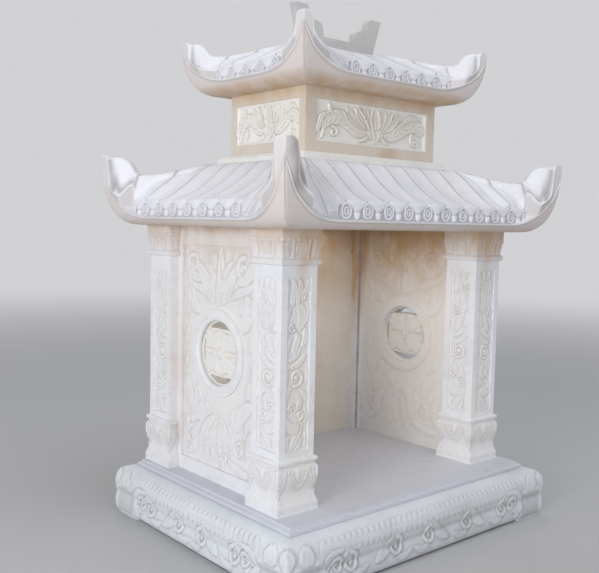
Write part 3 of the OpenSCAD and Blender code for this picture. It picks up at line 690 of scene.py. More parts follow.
# Leaves and clouds that fill a pillar's panel, up from its foot
VINE = [
    ("leaf", [(-22, 2), (-6, 22), (8, 44), (20, 64)], 9.5, 4.4, (0.35, 0.5), 0, 0.35),
    ("leaf", [(-2, 2), (10, 14), (20, 34)], 6.0, 4.2, (0.4, 0.6), 0, 0.5),
    ("leaf", [(-30, 4), (-31, 24), (-24, 42)], 6.5, 3.6, (0.4, 0.6), 0, 0.5),
    ("leaf", [(30, 6), (31, 30), (30, 52)], 4.5, 3.6, (0.4, 0.6), 0, 0.6),
    ("leaf", [(12, 60), (-10, 58), (-28, 68), (-33, 88)], 14, 4.0, (0.35, 0.5), 7, 0.55),
    ("curl", ((12, 92), 13, 1.25, 0.75, 1), 3.8, 4.2, 0.3),
    ("leaf", [(30, 70), (32, 92), (26, 112)], 5.5, 3.6, (0.4, 0.6), 0, 0.6),
    ("curl", ((-20, 112), 12, 1.2, 0.0, 1), 3.8, 4.2, 0.3),
    ("leaf", [(-6, 104), (8, 116), (10, 134), (-4, 146)], 8.5, 4.2, (0.4, 0.5), 4, 0.55),
    ("leaf", [(30, 122), (26, 142), (14, 156)], 7.0, 3.8, (0.4, 0.6), 0, 0.5),
    ("leaf", [(-34, 134), (-30, 156), (-16, 166)], 7.0, 3.8, (0.4, 0.6), 0, 0.5),
    ("curl", ((-3, 190), 23, 1.6, 0.70, 1), 4.0, 4.4, 0.25),
    ("boss", (-3, 190), (7, 7), 4.2, 2.5),
    ("leaf", [(30, 172), (34, 194), (28, 218)], 5.5, 3.6, (0.4, 0.6), 0, 0.6),
    ("leaf", [(-33, 180), (-35, 204), (-26, 226)], 5.5, 3.6, (0.4, 0.6), 0, 0.6),
    ("leaf", [(-26, 216), (-4, 222), (14, 234), (30, 252)], 8.0, 4.2, (0.4, 0.55), 8, 0.55),
    ("leaf", [(-30, 236), (-12, 240), (2, 252), (10, 268)], 6.5, 4.0, (0.4, 0.55), 5, 0.55),
    ("leaf", [(-12, 250), (-8, 272), (0, 288), (-5, 306)], 9.0, 4.8, (0.35, 0.5), 0, 0.35),
    ("leaf", [(-33, 256), (-30, 280), (-20, 296)], 6.0, 3.8, (0.4, 0.6), 0, 0.5),
    ("leaf", [(14, 268), (26, 290), (24, 318)], 9.0, 4.0, (0.4, 0.5), 5, 0.5),
    ("curl", ((-20, 320), 12.5, 1.25, 0.9, -1), 3.8, 4.4, 0.3),
    ("leaf", [(2, 314), (14, 336), (12, 360), (0, 376)], 14, 3.6, (0.35, 0.4), 0, 0.25),
    ("leaf", [(-34, 338), (-32, 358), (-22, 372)], 6.0, 3.8, (0.4, 0.6), 0, 0.5),
    ("leaf", [(28, 330), (33, 356), (30, 378)], 5.0, 3.6, (0.4, 0.6), 0, 0.6),
    ("leaf", [(-18, 374), (-20, 396), (-12, 420), (-20, 443)], 9.0, 4.8, (0.35, 0.45), 0, 0.35),
    ("leaf", [(0, 374), (-2, 398), (8, 420), (5, 443)], 8.0, 4.4, (0.35, 0.45), 0, 0.35),
    ("leaf", [(14, 384), (18, 404), (30, 420), (30, 443)], 7.5, 4.6, (0.35, 0.5), 0, 0.4),
    ("curl", ((26, 394), 8, 1.1, 0.6, -1), 3.0, 4.4, 0.3),
    ("leaf", [(-34, 392), (-33, 418), (-35, 441)], 4.5, 3.8, (0.4, 0.6), 0, 0.5),
]

# Petals on one face of a foot and of a capital, up from their undersides
FOOT_PETALS = [
    ("leaf", [(0, 118), (0, 92), (0, 54)], 36, 2.6, (0.10, 0.7), 0, 0.25),
    ("bar", [(-33, 119), (-31, 99), (-20, 76), (0, 59), (20, 76), (31, 99), (33, 119)], 2.8, 3.4, 0.0),
    ("bar", [(-20, 118), (-17, 100), (-9, 85), (0, 77), (9, 85), (17, 100), (20, 118)], 2.2, 3.2, 0.0),
    ("leaf", [(0, 117), (0, 102), (0, 86)], 6.5, 3.8, (0.3, 0.6), 0, 0.6),
]
# The half petals at the corners, drawn on the right and mirrored
FOOT_CORNER = [
    ("leaf", [(67, 118), (67, 80), (67, 40)], 27, 2.2, (0.12, 0.6), 0, 0.3),
    ("bar", [(40, 119), (42, 98), (49, 70), (58, 52), (67, 42)], 2.4, 2.8, 0.0),
    ("bar", [(53, 119), (54, 100), (59, 82), (68, 62)], 2.2, 3.2, 0.0),
    ("bar", [(62, 10), (50, 22), (50, 36)], 2.2, 1.6, 0.4),
]
FOOT_PETALS += mirrored(FOOT_CORNER) + FOOT_CORNER
CAPITAL_PETALS = [
    ("leaf", [(-58, 20), (-60, 42), (-62, 64)], 19, 2.6, (0.10, 0.25), 0, 0.25),
    ("leaf", [(58, 20), (60, 42), (62, 64)], 19, 2.6, (0.10, 0.25), 0, 0.25),
    ("leaf", [(0, 20), (0, 42), (0, 64)], 20, 2.6, (0.10, 0.25), 0, 0.25),
    ("bar", [(-14, 24), (-17, 44), (-12, 60), (0, 65), (12, 60), (17, 44), (14, 24)], 2.0, 3.2, 0.0),
    ("bar", [(-26, 20), (-26, 40), (-27, 60)], 4.4, 3.2, 0.0),
    ("bar", [(25, 20), (25, 40), (26, 60)], 4.4, 3.2, 0.0),
]
for spot in (-60, -46, -27, -10, 10, 27, 46, 60):
    CAPITAL_PETALS.append(("boss", (spot, 62 if abs(spot) == 27 else 65), (8.0, 5.5), 2.2))


def to_points(k, along, inward, height, reach, middle_y):
    """on_side, given millimetres along, inward and up."""
    return on_side(k, along * 0.001, inward * 0.001, height * 0.001, reach, middle_y)


def slab_back(k, deep):
    """Vector of deep mm into side k."""
    return (to_points(k, 0, deep, 0, 0, 0) - to_points(k, 0, 0, 0, 0, 0)).reshape(3)


def panel(k, field, drawing, where, lift, stretch=1.0, border=0.0, tones=(0.12, 0.0)):
    """Flat carved panel on side k, with a raised border and the two shares of dust and painted shade in
    tones.

    field is its half width, lower and upper end and step, in mm. where is how many mm the field lies
    inward from a face, that face's distance and middle in y in metres, and the field's zero in mm.
    """
    half, low, high, step = field
    face, reach, middle_y, foot = where
    u = np.linspace(-half, half, int(2 * half / step) + 1)[None, :]
    v = np.linspace(low, high, int((high - low) / step) + 1)[:, None]
    carving = Relief(u, v, step)
    carving.draw(drawing, lift, stretch)
    edge = np.minimum(half - np.abs(u), np.minimum(v - low, high - v))
    high_ground = carving.grid() + border * np.clip(1 - edge / 7.0, 0, 1) ** 0.5
    front = to_points(k, u, face - SLAB_OUT - high_ground, v + foot, reach, middle_y)
    return carved_skin(front, slab_back(k, 6.0), carving.hollows(*tones) * (edge > 6.0))


def round_window_grids(half, low, high, radius, step):
    """Two grids of u and v over a panel, below and above a round opening at its middle."""
    turn = np.linspace(-np.pi / 2, np.pi / 2, int(np.pi * radius / step))
    side = np.linspace(radius, half, int((half - radius) / step) + 1)[1:]
    u = np.concatenate([-side[::-1], radius * np.sin(turn), side])
    arch = np.sqrt(np.clip(radius ** 2 - u ** 2, 0, None))
    for end in (low, high):
        share = np.linspace(0, 1, int(abs(end) / step))[:, None]
        start = arch * np.sign(end)
        v = start + (end - start) * share
        yield (np.broadcast_to(u, v.shape), v) if end > 0 else (np.broadcast_to(u, v.shape)[::-1], v[::-1])


def wall_carving(k, field, where, lift, flip):
    """Carved field of a wall round its window; field and where as for a panel."""
    half, low, high, step = field
    face, reach = where
    parts = []
    for u, v in round_window_grids(half, low, high, WINDOW_OPEN, step):
        carving = Relief(u, v, step)
        for drawing in (WALL_LOWER, WALL_UPPER):
            carving.draw(mirrored(drawing) if flip else drawing, lift)
        inward = face - SLAB_OUT - carving.grid()
        front = to_points(k, u, inward, v + 1000 * WINDOW_HEIGHT, reach, MIDDLE_Y)
        # its plain back is built across the columns, so that it leaves the round opening free
        parts.append(carved_skin(front.swapaxes(0, 1), slab_back(k, 5.0), carving.hollows().T))
    return joined(parts)


def smooth_profile(curve, tall, step):
    """Profile of (reach, height) in mm through the named outline's points, at even steps along it."""
    path = np.asarray(curve, float) * (1, tall)
    fine = flowing(path, 400)
    run = np.concatenate([[0], np.cumsum(np.linalg.norm(np.diff(fine, axis=0), axis=1))])
    at = np.linspace(0, run[-1], int(run[-1] / step) + 1)
    return np.interp(at, run, fine[:, 0]), np.interp(at, run, fine[:, 1])


def square_wrap(curve, tall, shapes, lift, middle, foot):
    """Carved body of square section: the outline runs round all four faces and the corners are mitred."""
    half, step = PILLAR_HALF, 3.3
    reach, rise = smooth_profile(curve, tall, step)
    share = np.linspace(-1, 1, int(2 * half / step) + 1)[:-1]
    u = share[None, :] * (half + reach[:, None])
    v = np.broadcast_to(rise[:, None], u.shape)
    carving = Relief(u, v, step, cut=0.5)
    carving.draw(shapes, lift)
    ends = np.clip(np.minimum(rise, tall - rise) / 4.0, 0, 1)[:, None]
    # the ground lies 1.6 mm behind the outline, so that the petals rise to it
    raised = (carving.grid() - 1.6) * ends
    out = half + reach[:, None] + raised
    along = share[None, :] * (half + reach[:, None] + raised[:, :1])
    faces = [to_points(k, along, -(out - half), v + foot, half * 0.001, 0.0) for k in range(4)]
    rings = np.concatenate(faces, axis=1) + np.array([middle[0], middle[1], 0.0]) * 0.001
    return stacked(rings, np.tile(carving.hollows(), (1, 4)))


def out_of_chamber(points, sx):
    """Cuts what stands into the chamber back to the plain corner of its pillar's shaft."""
    x, y = points[:, 0] * sx, points[:, 1]
    inside = (x < ROOM[0]) & (y < ROOM[1])
    points = points.copy()
    for i, value in enumerate((x[inside], y[inside])):
        limit = SHAFT[i] + 0.004
        points[inside, i] = np.where(value < limit, limit + 0.1 * (value - limit), value)
    points[inside, 0] *= sx
    return points


def post(near, far, ends, sx, sy=1, middle_y=0.0):
    """Plain square post between two corners of its plan, on the side of the house that sx and sy give."""
    plan = [(near[0], near[1]), (far[0], near[1]), (far[0], far[1]), (near[0], far[1])]
    return stacked(np.array([[(sx * x, sy * y + middle_y, z) for x, y in plan] for z in ends]))


def chamber_post(sx):
    """Plain corner of a back pillar in the chamber, from the floor to the ceiling."""
    return post(np.array(SHAFT) - 0.0004, np.array(ROOM) + 0.004, CHAMBER_SPAN, sx)


# Outlines up from the foot: mm outside the shaft, or inside the plinth's foot, and share of the height
FOOT_CURVE = [
    (11, 0), (11, 0.15), (8, 0.19), (4.5, 0.28), (3, 0.37), (4, 0.43), (7, 0.5), (9.5, 0.6), (10, 0.7),
    (9, 0.8), (4, 0.86), (4, 0.885), (8.5, 0.905), (10, 0.94), (8.5, 0.98), (0, 1),
]
CAPITAL_CURVE = [
    (0, 0), (7.5, 0.02), (10, 0.09), (7.5, 0.17), (3, 0.2), (3, 0.24), (4, 0.34), (5.5, 0.46), (7.5, 0.58),
    (9.5, 0.66), (9.5, 1),
]
BASE_CURVE = [
    (14, 0), (9, 0.05), (2.5, 0.13), (0.5, 0.24), (1, 0.3), (4, 0.38), (8, 0.44), (4, 0.49), (1.5, 0.54),
    (0, 0.62), (0, 0.68), (2, 0.77), (6, 0.845), (12, 0.9), (20, 0.945), (34, 0.98), (46, 1),
]
# Section of a window's ring, distance from its middle and height over the wall's raised face
RING_PROFILE = [
    (92.5, -6.0), (92.5, -3.0), (94.0, -0.6), (97.5, 1.0), (102.5, 1.9), (108.0, 2.0), (112.0, 1.4),
    (114.6, 0.0), (116.4, -0.8), (118.2, 0.0), (121.5, 0.8), (124.2, 0.0), (124.8, -3.0), (124.8, -9.0),
    (92.5, -9.0),
]


def moulded_ring(section, around):
    """Ring of closed section (distance from the middle, height), both in mm."""
    section = np.asarray(section, float) * 0.001
    angle = np.linspace(0, 2 * np.pi, around, endpoint=False)
    points = np.stack([
        section[None, :, 0] * np.cos(angle)[:, None],
        section[None, :, 0] * np.sin(angle)[:, None],
        np.broadcast_to(section[None, :, 1], (around, len(section))),
    ], -1)
    m = len(section)
    i, j = np.arange(around)[:, None], np.arange(m)[None, :]
    k, n = (i + 1) % around, (j + 1) % m
    quads = np.stack([i * m + j, i * m + n, k * m + n, k * m + j], -1).reshape(-1, 4)
    return points.reshape(-1, 3), quads, [], np.zeros(around * m)


def flower_face():
    """Four broad notched petals and a round heart on a window's flower, drawn in x and y."""
    t = np.linspace(0, 1, 20)[:, None]
    a = np.linspace(-1, 1, 37)[None, :]
    parts = []
    for quarter in range(4):
        wide = 0.72 * (1 - 0.45 * (1 - t) ** 2)
        turn = (quarter + 0.5) * np.pi / 2 + a * wide
        # the openings are over and under the flower, and narrower ones beside it
        to_gap = a if quarter % 2 == 0 else -a
        full = 90 - 25 * eased((to_gap - 0.02) / 0.30) - 13 * eased((-to_gap - 0.36) / 0.26)
        full = full * (1 + 0.022 * np.cos(5 * np.pi * a))
        reach = 6 + (full - 6) * t
        dome = 1 - np.maximum(np.abs(a), np.abs(2 * t - 1)) ** 5
        lobes = 0.5 + 0.5 * np.cos(5 * np.pi * a) * t
        high = 1.0 + 6.4 * dome ** 0.6 * (0.70 + 0.30 * lobes) - 1.2 * np.exp(-((a / 0.08) ** 2)) * dome
        points = np.stack([reach * np.cos(turn), reach * np.sin(turn), high + 0 * turn], -1) * 0.001
        # dust and painted shade towards the petal's edges
        parts.append(carved_skin(points, (0, 0, -0.006), 0.8 * (1 - dome ** 0.3) + 0 * a))
    heart = turned([
        (0.0185, -0.003), (0.0185, 0.006), (0.0170, 0.0082), (0.0145, 0.0080), (0.0125, 0.0064),
        (0.0100, 0.0074), (0.0060, 0.0088), (0.0, 0.0092),
    ], 26, [0.6, 0.2, 0, 0.2, 0.7, 0.1, 0, 0])
    return joined([*parts, heart])


# Depth of the plinth's ground behind its outline, which the carving rises to, and the carving's step
PLINTH_DEEP = 5.2
PLINTH_STEP = 4.2


def plinth_drawing(half):
    """Petals along the upper roll, clouds with tails between the legs, and the legs' scrolls."""
    shapes = []
    for x in np.arange(-half + 120, half - 119, 21.0):
        lean = 7.0 if x < 0 else -7.0
        shapes.append(("leaf", [(x - lean, 96), (x, 116), (x + lean, 137)], 9.5, 3.0, (0.35, 0.45), 0, 0.4))
    span = half - 200
    count = max(int(2 * span / 150), 2)
    for x in np.linspace(-span, span, count + 1):
        at = -abs(x)
        cloud = [
            ("leaf", [(at - 64, 40), (at - 30, 58), (at + 6, 86), (at + 34, 96)], 15, 3.6,
             (0.5, 0.5), 7, 0.6),
            ("curl", ((at + 14, 64), 27, 1.35, 0.25, -1), 7.0, 4.4, 0.35),
            ("leaf", [(at + 20, 36), (at + 48, 30), (at + 80, 44)], 9, 3.4, (0.4, 0.6), 0, 0.6),
        ]
        shapes += cloud if x < 0 else mirrored(cloud)
    leg = [
        ("leaf", [(half - 150, 18), (half - 126, 56), (half - 142, 96), (half - 190, 106)], 13, 4.2,
         (0.3, 0.6), 0, 0.6),
        ("curl", ((half - 168, 66), 24, 1.3, 0.0, 1), 7.0, 4.6, 0.3),
        ("leaf", [(half - 4, 140), (half - 4, 118), (half - 4, 92)], 26, 3.2, (0.3, 0.5), 0, 0.5),
        ("leaf", [(half - 64, 92), (half - 66, 114), (half - 68, 138)], 24, 3.2, (0.3, 0.5), 0, 0.5),
    ]
    return shapes + mirrored(leg) + leg


def plinth_side(k, lift):
    """Carved skin of one side of the plinth, from its foot over both rolls to the slab."""
    half, reach = PLINTH_HALF[k % 2], PLINTH_HALF[1 - k % 2]
    inset, rise = smooth_profile(BASE_CURVE, PLINTH_TALL, PLINTH_STEP)
    share = np.linspace(-1, 1, int(2 * half / PLINTH_STEP) + 1)
    u = share[None, :] * (half - inset[:, None])
    v = np.broadcast_to(rise[:, None], u.shape)
    carving = Relief(u, v, PLINTH_STEP, groove=3.0, cut=0.3)
    carving.draw(plinth_drawing(half), lift)
    high = carving.grid()
    # a ribbed field on each leg, 16 to 112 mm from its corner and 86 mm high, and its frame
    place = half - np.abs(u)
    leg = (
        np.clip((place - 16) / 4, 0, 1) * np.clip((112 - place) / 4, 0, 1) * np.clip((86 - v) / 5, 0, 1)
    )
    ribs = 1.1 + 0.8 * np.sin(place * 2 * np.pi / 9.0)
    high = high * (1 - leg) + ribs * leg
    frame_of_leg = (
        np.clip((place + 4) / 4, 0, 1) * np.clip((122 - place) / 6, 0, 1) * np.clip((96 - v) / 6, 0, 1)
    )
    high = np.maximum(high, 3.6 * frame_of_leg * (1 - leg))
    # it fades towards the corners and under the slab
    below_slab = PLINTH_TALL - v
    high = high * np.clip(below_slab / 10, 0, 1) * np.clip(place / 6, 0.35, 1)
    high = np.minimum(high, PLINTH_DEEP) - PLINTH_DEEP * np.clip(below_slab / 14, 0.1, 1)
    # between the legs the apron ends 12 mm over the ground
    v = np.maximum(v, 12.0 * eased((place - 117) / 3))
    along = share[None, :] * (half - inset[:, None] + high[:, -1:])
    top = np.minimum(v, PLINTH_TALL - 0.6)
    front = to_points(k, along, inset[:, None] - high, top, reach * 0.001, PLINTH_MIDDLE_Y * 0.001)
    back = to_points(k, -9.0 * share, 9.0, 0, 0, 0) - to_points(k, 0, 0, 0, 0, 0)
    # the ribbed leg fields take more dust and painted shade
    return carved_skin(front, back, np.clip(carving.hollows() + 0.35 * leg, 0, 1))


def plinth_core():
    """The plinth's plain stone behind the carving: its mass down to the apron, and four legs."""
    inset, rise = (a[::4] for a in smooth_profile(BASE_CURVE, PLINTH_TALL - 1, 3.4))
    inset, rise = inset + PLINTH_DEEP + 1.5, np.maximum(rise, 12.2)
    corners = [
        np.stack([sx * (PLINTH_HALF[0] - inset), sy * (PLINTH_HALF[1] - inset) + PLINTH_MIDDLE_Y, rise], -1)
        for sx, sy in ((-1, -1), (1, -1), (1, 1), (-1, 1))
    ]
    legs = [
        post((0.4142, 0.3072), (0.519, 0.412), (0.0002, 0.013), sx, sy, PLINTH_MIDDLE_Y * 0.001)
        for sx in (-1, 1) for sy in (-1, 1)
    ]
    return [stacked(np.stack(corners, 1) * 0.001), *legs]


# ROOFS


# Shapes of a roof, as shares of its heights unless said: the prow under a horn by inset and height, the lip
# and the rim by the distance from the tip and share of the way from the lip to the tip
PROW = np.array([
    (103, 0), (70, 0.014), (48, 0.07), (38, 0.115), (31, 0.155), (20.5, 0.257), (11.5, 0.386),
    (5, 0.529), (1.8, 0.7), (0.3, 0.86), (0, 1.02),
])
LIP = [
    (0, 0.745), (2, 0.745), (12, 0.644), (29, 0.468), (47, 0.334), (79, 0.2), (111, 0.105), (140, 0.045),
    (172, 0.012), (205, 0),
]
RIM = [
    (0, 0.787), (20, 0.777), (33, 0.72), (36, 0.633), (48, 0.527), (64, 0.436), (80, 0.372), (96, 0.324),
    (108, 0.29),
]
# Inset of the wall behind the lip, by the distance from a horn's tip: beside most horns, and beside the
# two long plain ends at the front left corner
WALL_SHORT = [(0, -6), (36, -1), (64, 4), (84, 10), (92, 22), (99, 44), (104, 57)]
WALL_LONG = [(0, -6), (36, -1), (64, 4), (84, 9), (96, 12)]
# The rest of a long end: share of the way to its first medallion, and inset
WALL_GUSSET = [(0.26, 22), (0.64, 40), (1, 57)]
# Edge of the first band beside a long end: inset, and distance from the tip
BAND_EDGE = [(57, 166), (76, 169.5), (103, 180), (142, 200), (159, 208), (178, 219), (250, 264)]
# Ridge of a horn: share of its length, and drop under its tip as a share of its rise
HORN = [
    (-0.02, 0.6), (0, 0.15), (0.02, 0.03), (0.1, -0.02), (0.2, 0.01), (0.29, 0.13), (0.36, 0.14),
    (0.47, 0.12), (0.55, 0.13), (0.66, 0.19), (0.74, 0.29), (0.83, 0.46), (0.9, 0.69), (0.95, 0.89), (1, 1),
    (1.16, 1.09),
]
# Rise of the slopes by the share of the way in from the tiles' foot
LOWER_SLOPE = [
    (0, 0), (0.086, 0.035), (0.27, 0.18), (0.47, 0.385), (0.6, 0.56), (0.695, 0.7), (0.79, 0.84),
    (0.87, 0.94), (0.94, 0.99), (1, 1),
]
UPPER_SLOPE = [(0, 0), (0.167, 0.108), (0.333, 0.232), (0.5, 0.383), (0.667, 0.565), (0.833, 0.775), (1, 1)]


def eased(x):
    """Smooth step from 0 at 0 to 1 at 1."""
    x = np.clip(x, 0, 1)
    return x * x * (3 - 2 * x)


def table(rows, count=300):
    """Two rows of finely spaced values on the smooth curve through a table of pairs."""
    return flowing(rows, count).T


def over(one, two, soft):
    """The higher of two heights, with a fillet where they cross."""
    near = np.clip(1 - np.abs(one - two) / soft, 0, 1)
    return np.maximum(one, two) + near ** 2 * soft / 4


class Roof:
    """One roof, in millimetres over its foot, with the sizes that its stones were cut to.

    Each side has its own a, the distance from the tip plane at its end, and b, the inset from its own
    tip plane. The hip runs at 45 degrees under the horn and then straight to the corner of the top.

    half has half the width and the depth, and run the inset of the top from the ends and from the front.
    height, lip, tile and top are the heights of a horn's tip, of the lip, of the tiles' foot and of the
    top. horn has its length along a side, its drop and the hip's reach, and thick half its thickness and
    half that of the hip band. rows has each side's first and last groove, their shift and their stretch.
    """

    # From here the hip leaves its 45 degrees
    bend = 100.0
    # Inset of the tiles' foot
    band = 57.0
    # Depth of the prow under a horn, from its tip to the soffit
    deep = 103.0
    # Distance from the tip at which a horn's side ends and the wall begins
    blade = 96.0

    def __init__(self, which, half, height, lip, tile, top, run, slope, horn, thick, pitch, rows):
        low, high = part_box(f"{which}_eave")
        self.which, self.foot, self.middle_y = which, low.z * 1000, (low.y + high.y) * 500
        self.half, self.height, self.lip, self.tile, self.top = half, height, lip, tile, top
        self.run, self.pitch, self.rows, self.thick = run, pitch, rows, thick
        self.slope = table(slope)
        self.prow = table([(z * height, b) for b, z in PROW])
        self.lips = table([(a, lip + s * (height - lip)) for a, s in LIP])
        self.rims = table([(a, lip + s * (height - lip)) for a, s in RIM])
        tip_length, rise, reach = horn
        crest = [(math.sqrt(2) * p * tip_length, height - q * rise) for p, q in HORN]
        # from the heel of the horn the hip climbs to the top in an even wave
        self.heel, heel_height = crest[-1]
        for i in range(1, 6):
            climb = (1 - math.cos(math.pi * i / 5)) / 2
            along = self.heel + (math.sqrt(2) * reach - self.heel) * i / 5
            crest.append((along, heel_height + (top - heel_height) * climb))
        self.crests = table(crest, 500)

    def side(self, k):
        """Half width along side k, distance of its tip plane, run inward there, run inward at its ends."""
        own, other = k % 2, 1 - k % 2
        return self.half[own], self.half[other], self.run[other], self.run[own]

    def hip_inset(self, k, a):
        """Inset of the hip's line at the distance a along side k."""
        _, _, run, run_end = self.side(k)
        behind = self.bend + (a - self.bend) * (run - self.bend) / (run_end - self.bend)
        return np.where(a < self.bend, a, behind)

    def inner_end(self, k, a):
        """Inset where the section at the distance a ends: at the hip, or at the edge of the top."""
        _, _, run, run_end = self.side(k)
        return self.hip_inset(k, a) if a < run_end else run

    def hip_place(self, k, a, b):
        """Distance along the hip from the tip, and square to it, of a plan point."""
        _, _, run, run_end = self.side(k)
        root = math.sqrt(2)
        ahead = np.array((run_end - self.bend, run - self.bend))
        ahead = ahead / math.hypot(*ahead)
        s1, d1 = (a + b) / root, (a - b) / root
        s2 = root * self.bend + (a - self.bend) * ahead[0] + (b - self.bend) * ahead[1]
        d2 = (a - self.bend) * ahead[1] - (b - self.bend) * ahead[0]
        share = eased((s1 - root * self.bend) / 24 + 0.5)
        return s1 * (1 - share) + s2 * share, np.abs(d1 * (1 - share) + d2 * share)

    def thickness(self, s):
        """Half the thickness of the horn and of the hip band behind it."""
        return self.thick[0] + (self.thick[1] - self.thick[0]) * eased((s - self.heel + 42) / 44)

    def row_at(self, k, i):
        """Place of groove i along side k."""
        _, _, shift, stretch = self.rows[k]
        return (i - shift) * self.pitch * stretch

    def grooves(self, k, u):
        """Distance to the nearest groove, and share of the way to it from the middle of its tile band."""
        _, _, shift, stretch = self.rows[k]
        pitch = self.pitch * stretch
        r = (u / pitch + 0.5 + shift) % 1.0 - 0.5
        return np.abs(r) * pitch, 1 - 2 * np.abs(r)

    def long_end(self, k, u):
        """Whether that place is on one of the two long plain ends, at the front left horn."""
        return (k == 0) & (u < 0) | (k == 3) & (u > 0)

    def plain_length(self, k):
        """Distance from the tip to the end of the plain wall of a long end."""
        first, last = self.rows[k][:2]
        return self.side(k)[0] - abs(self.row_at(k, first if k == 0 else last)) - 27

    def band_edge(self, k, b):
        """Distance from the tip of the first band's edge beside a long plain end."""
        run = self.side(k)[2]
        shift = (self.plain_length(k) - 228) * np.clip((run - b) / (run - self.band), 0, 1)
        return np.interp(b, *np.asarray(BAND_EDGE, float).T) + shift

    def wall(self, k, a, u):
        """Inset of the wall behind the lip, its upper edge and how far the tiles stand out over it."""
        plain, plain_length = self.long_end(k, u), self.plain_length(k)
        gusset = [(self.blade + share * (plain_length - self.blade), b) for share, b in WALL_GUSSET]
        short_wall, long_wall = (np.asarray(rows, float).T for rows in (WALL_SHORT, WALL_LONG + gusset))
        inset = np.where(plain, np.interp(a, *long_wall), np.interp(a, *short_wall))
        fade = eased((a - self.blade) / (np.where(plain, plain_length, 112.0) - self.blade))
        gap, _ = self.grooves(k, u)
        nose = 4.0 * (1 - np.exp(-((gap / 4.5) ** 2)))
        nose = nose * eased((a - np.where(plain, plain_length - 40, 104)) / 14)
        return inset, np.interp(a, *self.rims) * (1 - fade) + self.tile * fade, nose

    def surface(self, k, a, b, u):
        """Height, and share of dust and painted shade, of the upper side at plan points."""
        run = self.side(k)[2]
        inset, edge, nose = self.wall(k, a, u)
        inset = inset - nose
        rise = np.interp((b - self.band) / (run - self.band), *self.slope)
        slope = self.tile + (self.top - self.tile) * rise
        slope += (edge - self.tile) * (1 - eased((b - inset) / 70))
        # by a long plain end the bands run down to the lip in one soft sweep
        plain, plain_length = self.long_end(k, u), self.plain_length(k)
        sweep = plain * eased((a - self.blade) / 60) * eased((plain_length - a) / 4)
        slope -= sweep * 0.72 * (self.tile - self.lip) * np.exp(-(np.maximum(b - inset, 0) / 26.0) ** 1.3)
        # the slope climbs to its hip: steeply beside the horn, and in a wide sweep behind it
        s, d = self.hip_place(k, a, b)
        crest = np.interp(s, *self.crests)
        swept = eased((s - self.heel + 20) / 70)
        lift = np.clip(1 - d / (62 + 98 * swept), 0, 1) ** 2 * np.clip((s - 70) / 60, 0, 1)
        lift *= 0.75 + 0.22 * swept
        base = slope + lift * np.maximum(crest - slope, 0)
        # tile bands between their grooves, and the soft edge of the first band by a long plain end
        gap, middle = self.grooves(k, u)
        shown = eased((run - 7 - b) / 9) * eased((a - self.blade) / 8)
        edge_at = self.band_edge(k, b)
        shown = np.where(plain, shown * eased((a - edge_at) / 6), shown)
        cut, hollow_dust_and_shade = np.exp(-((gap / 2.6) ** 2)), np.exp(-((gap / 3.7) ** 2))
        base += shown * (-4.6 * cut - 6.0 * (1 - middle) ** 2.2)
        under_ledge = np.exp(-(((b - run + 3) / 4.0) ** 2)) * (s > self.heel)
        base -= 3.0 * under_ledge
        by_edge = plain & (b > self.band - 20)
        line = np.where(by_edge, np.exp(-((np.abs(a - edge_at) * by_edge / 5.0) ** 2)), 0)
        line = line * eased((run - 7 - b) / 9) * eased((b - 60) / 30)
        base -= 3.0 * line
        # rounded edge over the wall, and the channel behind a horn's rim
        base -= 6.0 * np.exp(-np.maximum(b - inset, 0) / 2.6) * eased((a - self.blade) / 12) * (1 - sweep)
        channel = np.exp(-(((b - inset - 8) / 5.0) ** 2)) * eased((a - 36) / 6) * eased((108 - a) / 10)
        # the horn's blade and the hip band, with a rounded top and steep flanks
        thick = self.thickness(s)
        behind = eased((s - self.heel + 42) / 60)
        inner = np.clip(d - (thick - 10.0), 0, 10.0)
        drop = 10.0 - np.sqrt(np.maximum(100.0 - inner ** 2, 0))
        steep = 16 - 12 * eased((s - 25) / 40)
        drop += np.maximum(d - thick, 0) * steep + (1.2 + 4 * behind) * (d / thick) ** 2
        beyond = np.maximum(s - math.sqrt(2) * (self.run[0] + self.run[1]) / 2, 0)
        z = over(base, crest - drop - beyond * 2, 7.0) - 7.0 * channel
        # the flank beside a horn and the first band by a long plain end are painted darker, a painted shade;
        # the grooves, the first band's edge, the groove under the ledge and the channel behind a rim take
        # dust and painted shade
        flank = np.clip((base + 9 - z) / 9, 0, 1) * np.clip(1 - (d - thick) / 12, 0, 1) * (d > thick - 1)
        first = plain * eased((a - 70) / 40) * eased((plain_length + 24 - a) / 20) * (d > thick)
        dust_and_shade = np.max([
            0.95 * hollow_dust_and_shade * shown, 0.8 * line, 0.6 * under_ledge, 1.0 * channel, 0.30 * first,
            np.where(plain, 0.95, 0.15) * flank * eased((self.heel + 50 - s) / 60),
        ], axis=0)
        return z, dust_and_shade

    def columns(self, k):
        """Places of the sections along side k: shared ones by the hips, closer ones at the grooves."""
        half = self.side(k)[0]
        beside = (0.0, 1.7, 3.8, 7.0, 14.0, 25.0)
        spots = []
        for j in (0, 1):
            reach, _, run, run_end = self.side(j)
            lines = [reach - abs(self.row_at(j, i)) for i in range(-9, 10)]
            near = np.concatenate([[line - f, line + f] for line in lines for f in beside])
            if j == 1:
                turned_in = self.bend + (near - self.bend) * (run - self.bend) / (run_end - self.bend)
                near = np.where(near < self.bend, near, turned_in)
            spots.append(near)
        last = self.run[0]
        even = np.concatenate([
            [2.0, 3.5, 5.5, 8, 11, 14], np.arange(17, 32, 3.0), np.arange(32, 44, 1.4),
            np.arange(44, 130, 3.4), np.arange(130, last, 5.2), [last],
        ])
        corner = np.sort(np.concatenate([even, *[s[(s > 2) & (s < last - 1)] for s in spots]]))
        corner = self.spaced(corner, 1.1, (2.0, self.deep, last))
        if k % 2:
            corner = self.hip_inset(0, corner)
        lines = [self.row_at(k, i) for i in range(-9, 10)]
        near = np.concatenate([[line - f, line + f] for line in lines for f in beside])
        middle = self.spaced(np.sort(near[np.abs(near) < half - corner[-1] - 1]), 1.1, ())
        return np.concatenate([-(half - corner), middle, (half - corner)[::-1]])

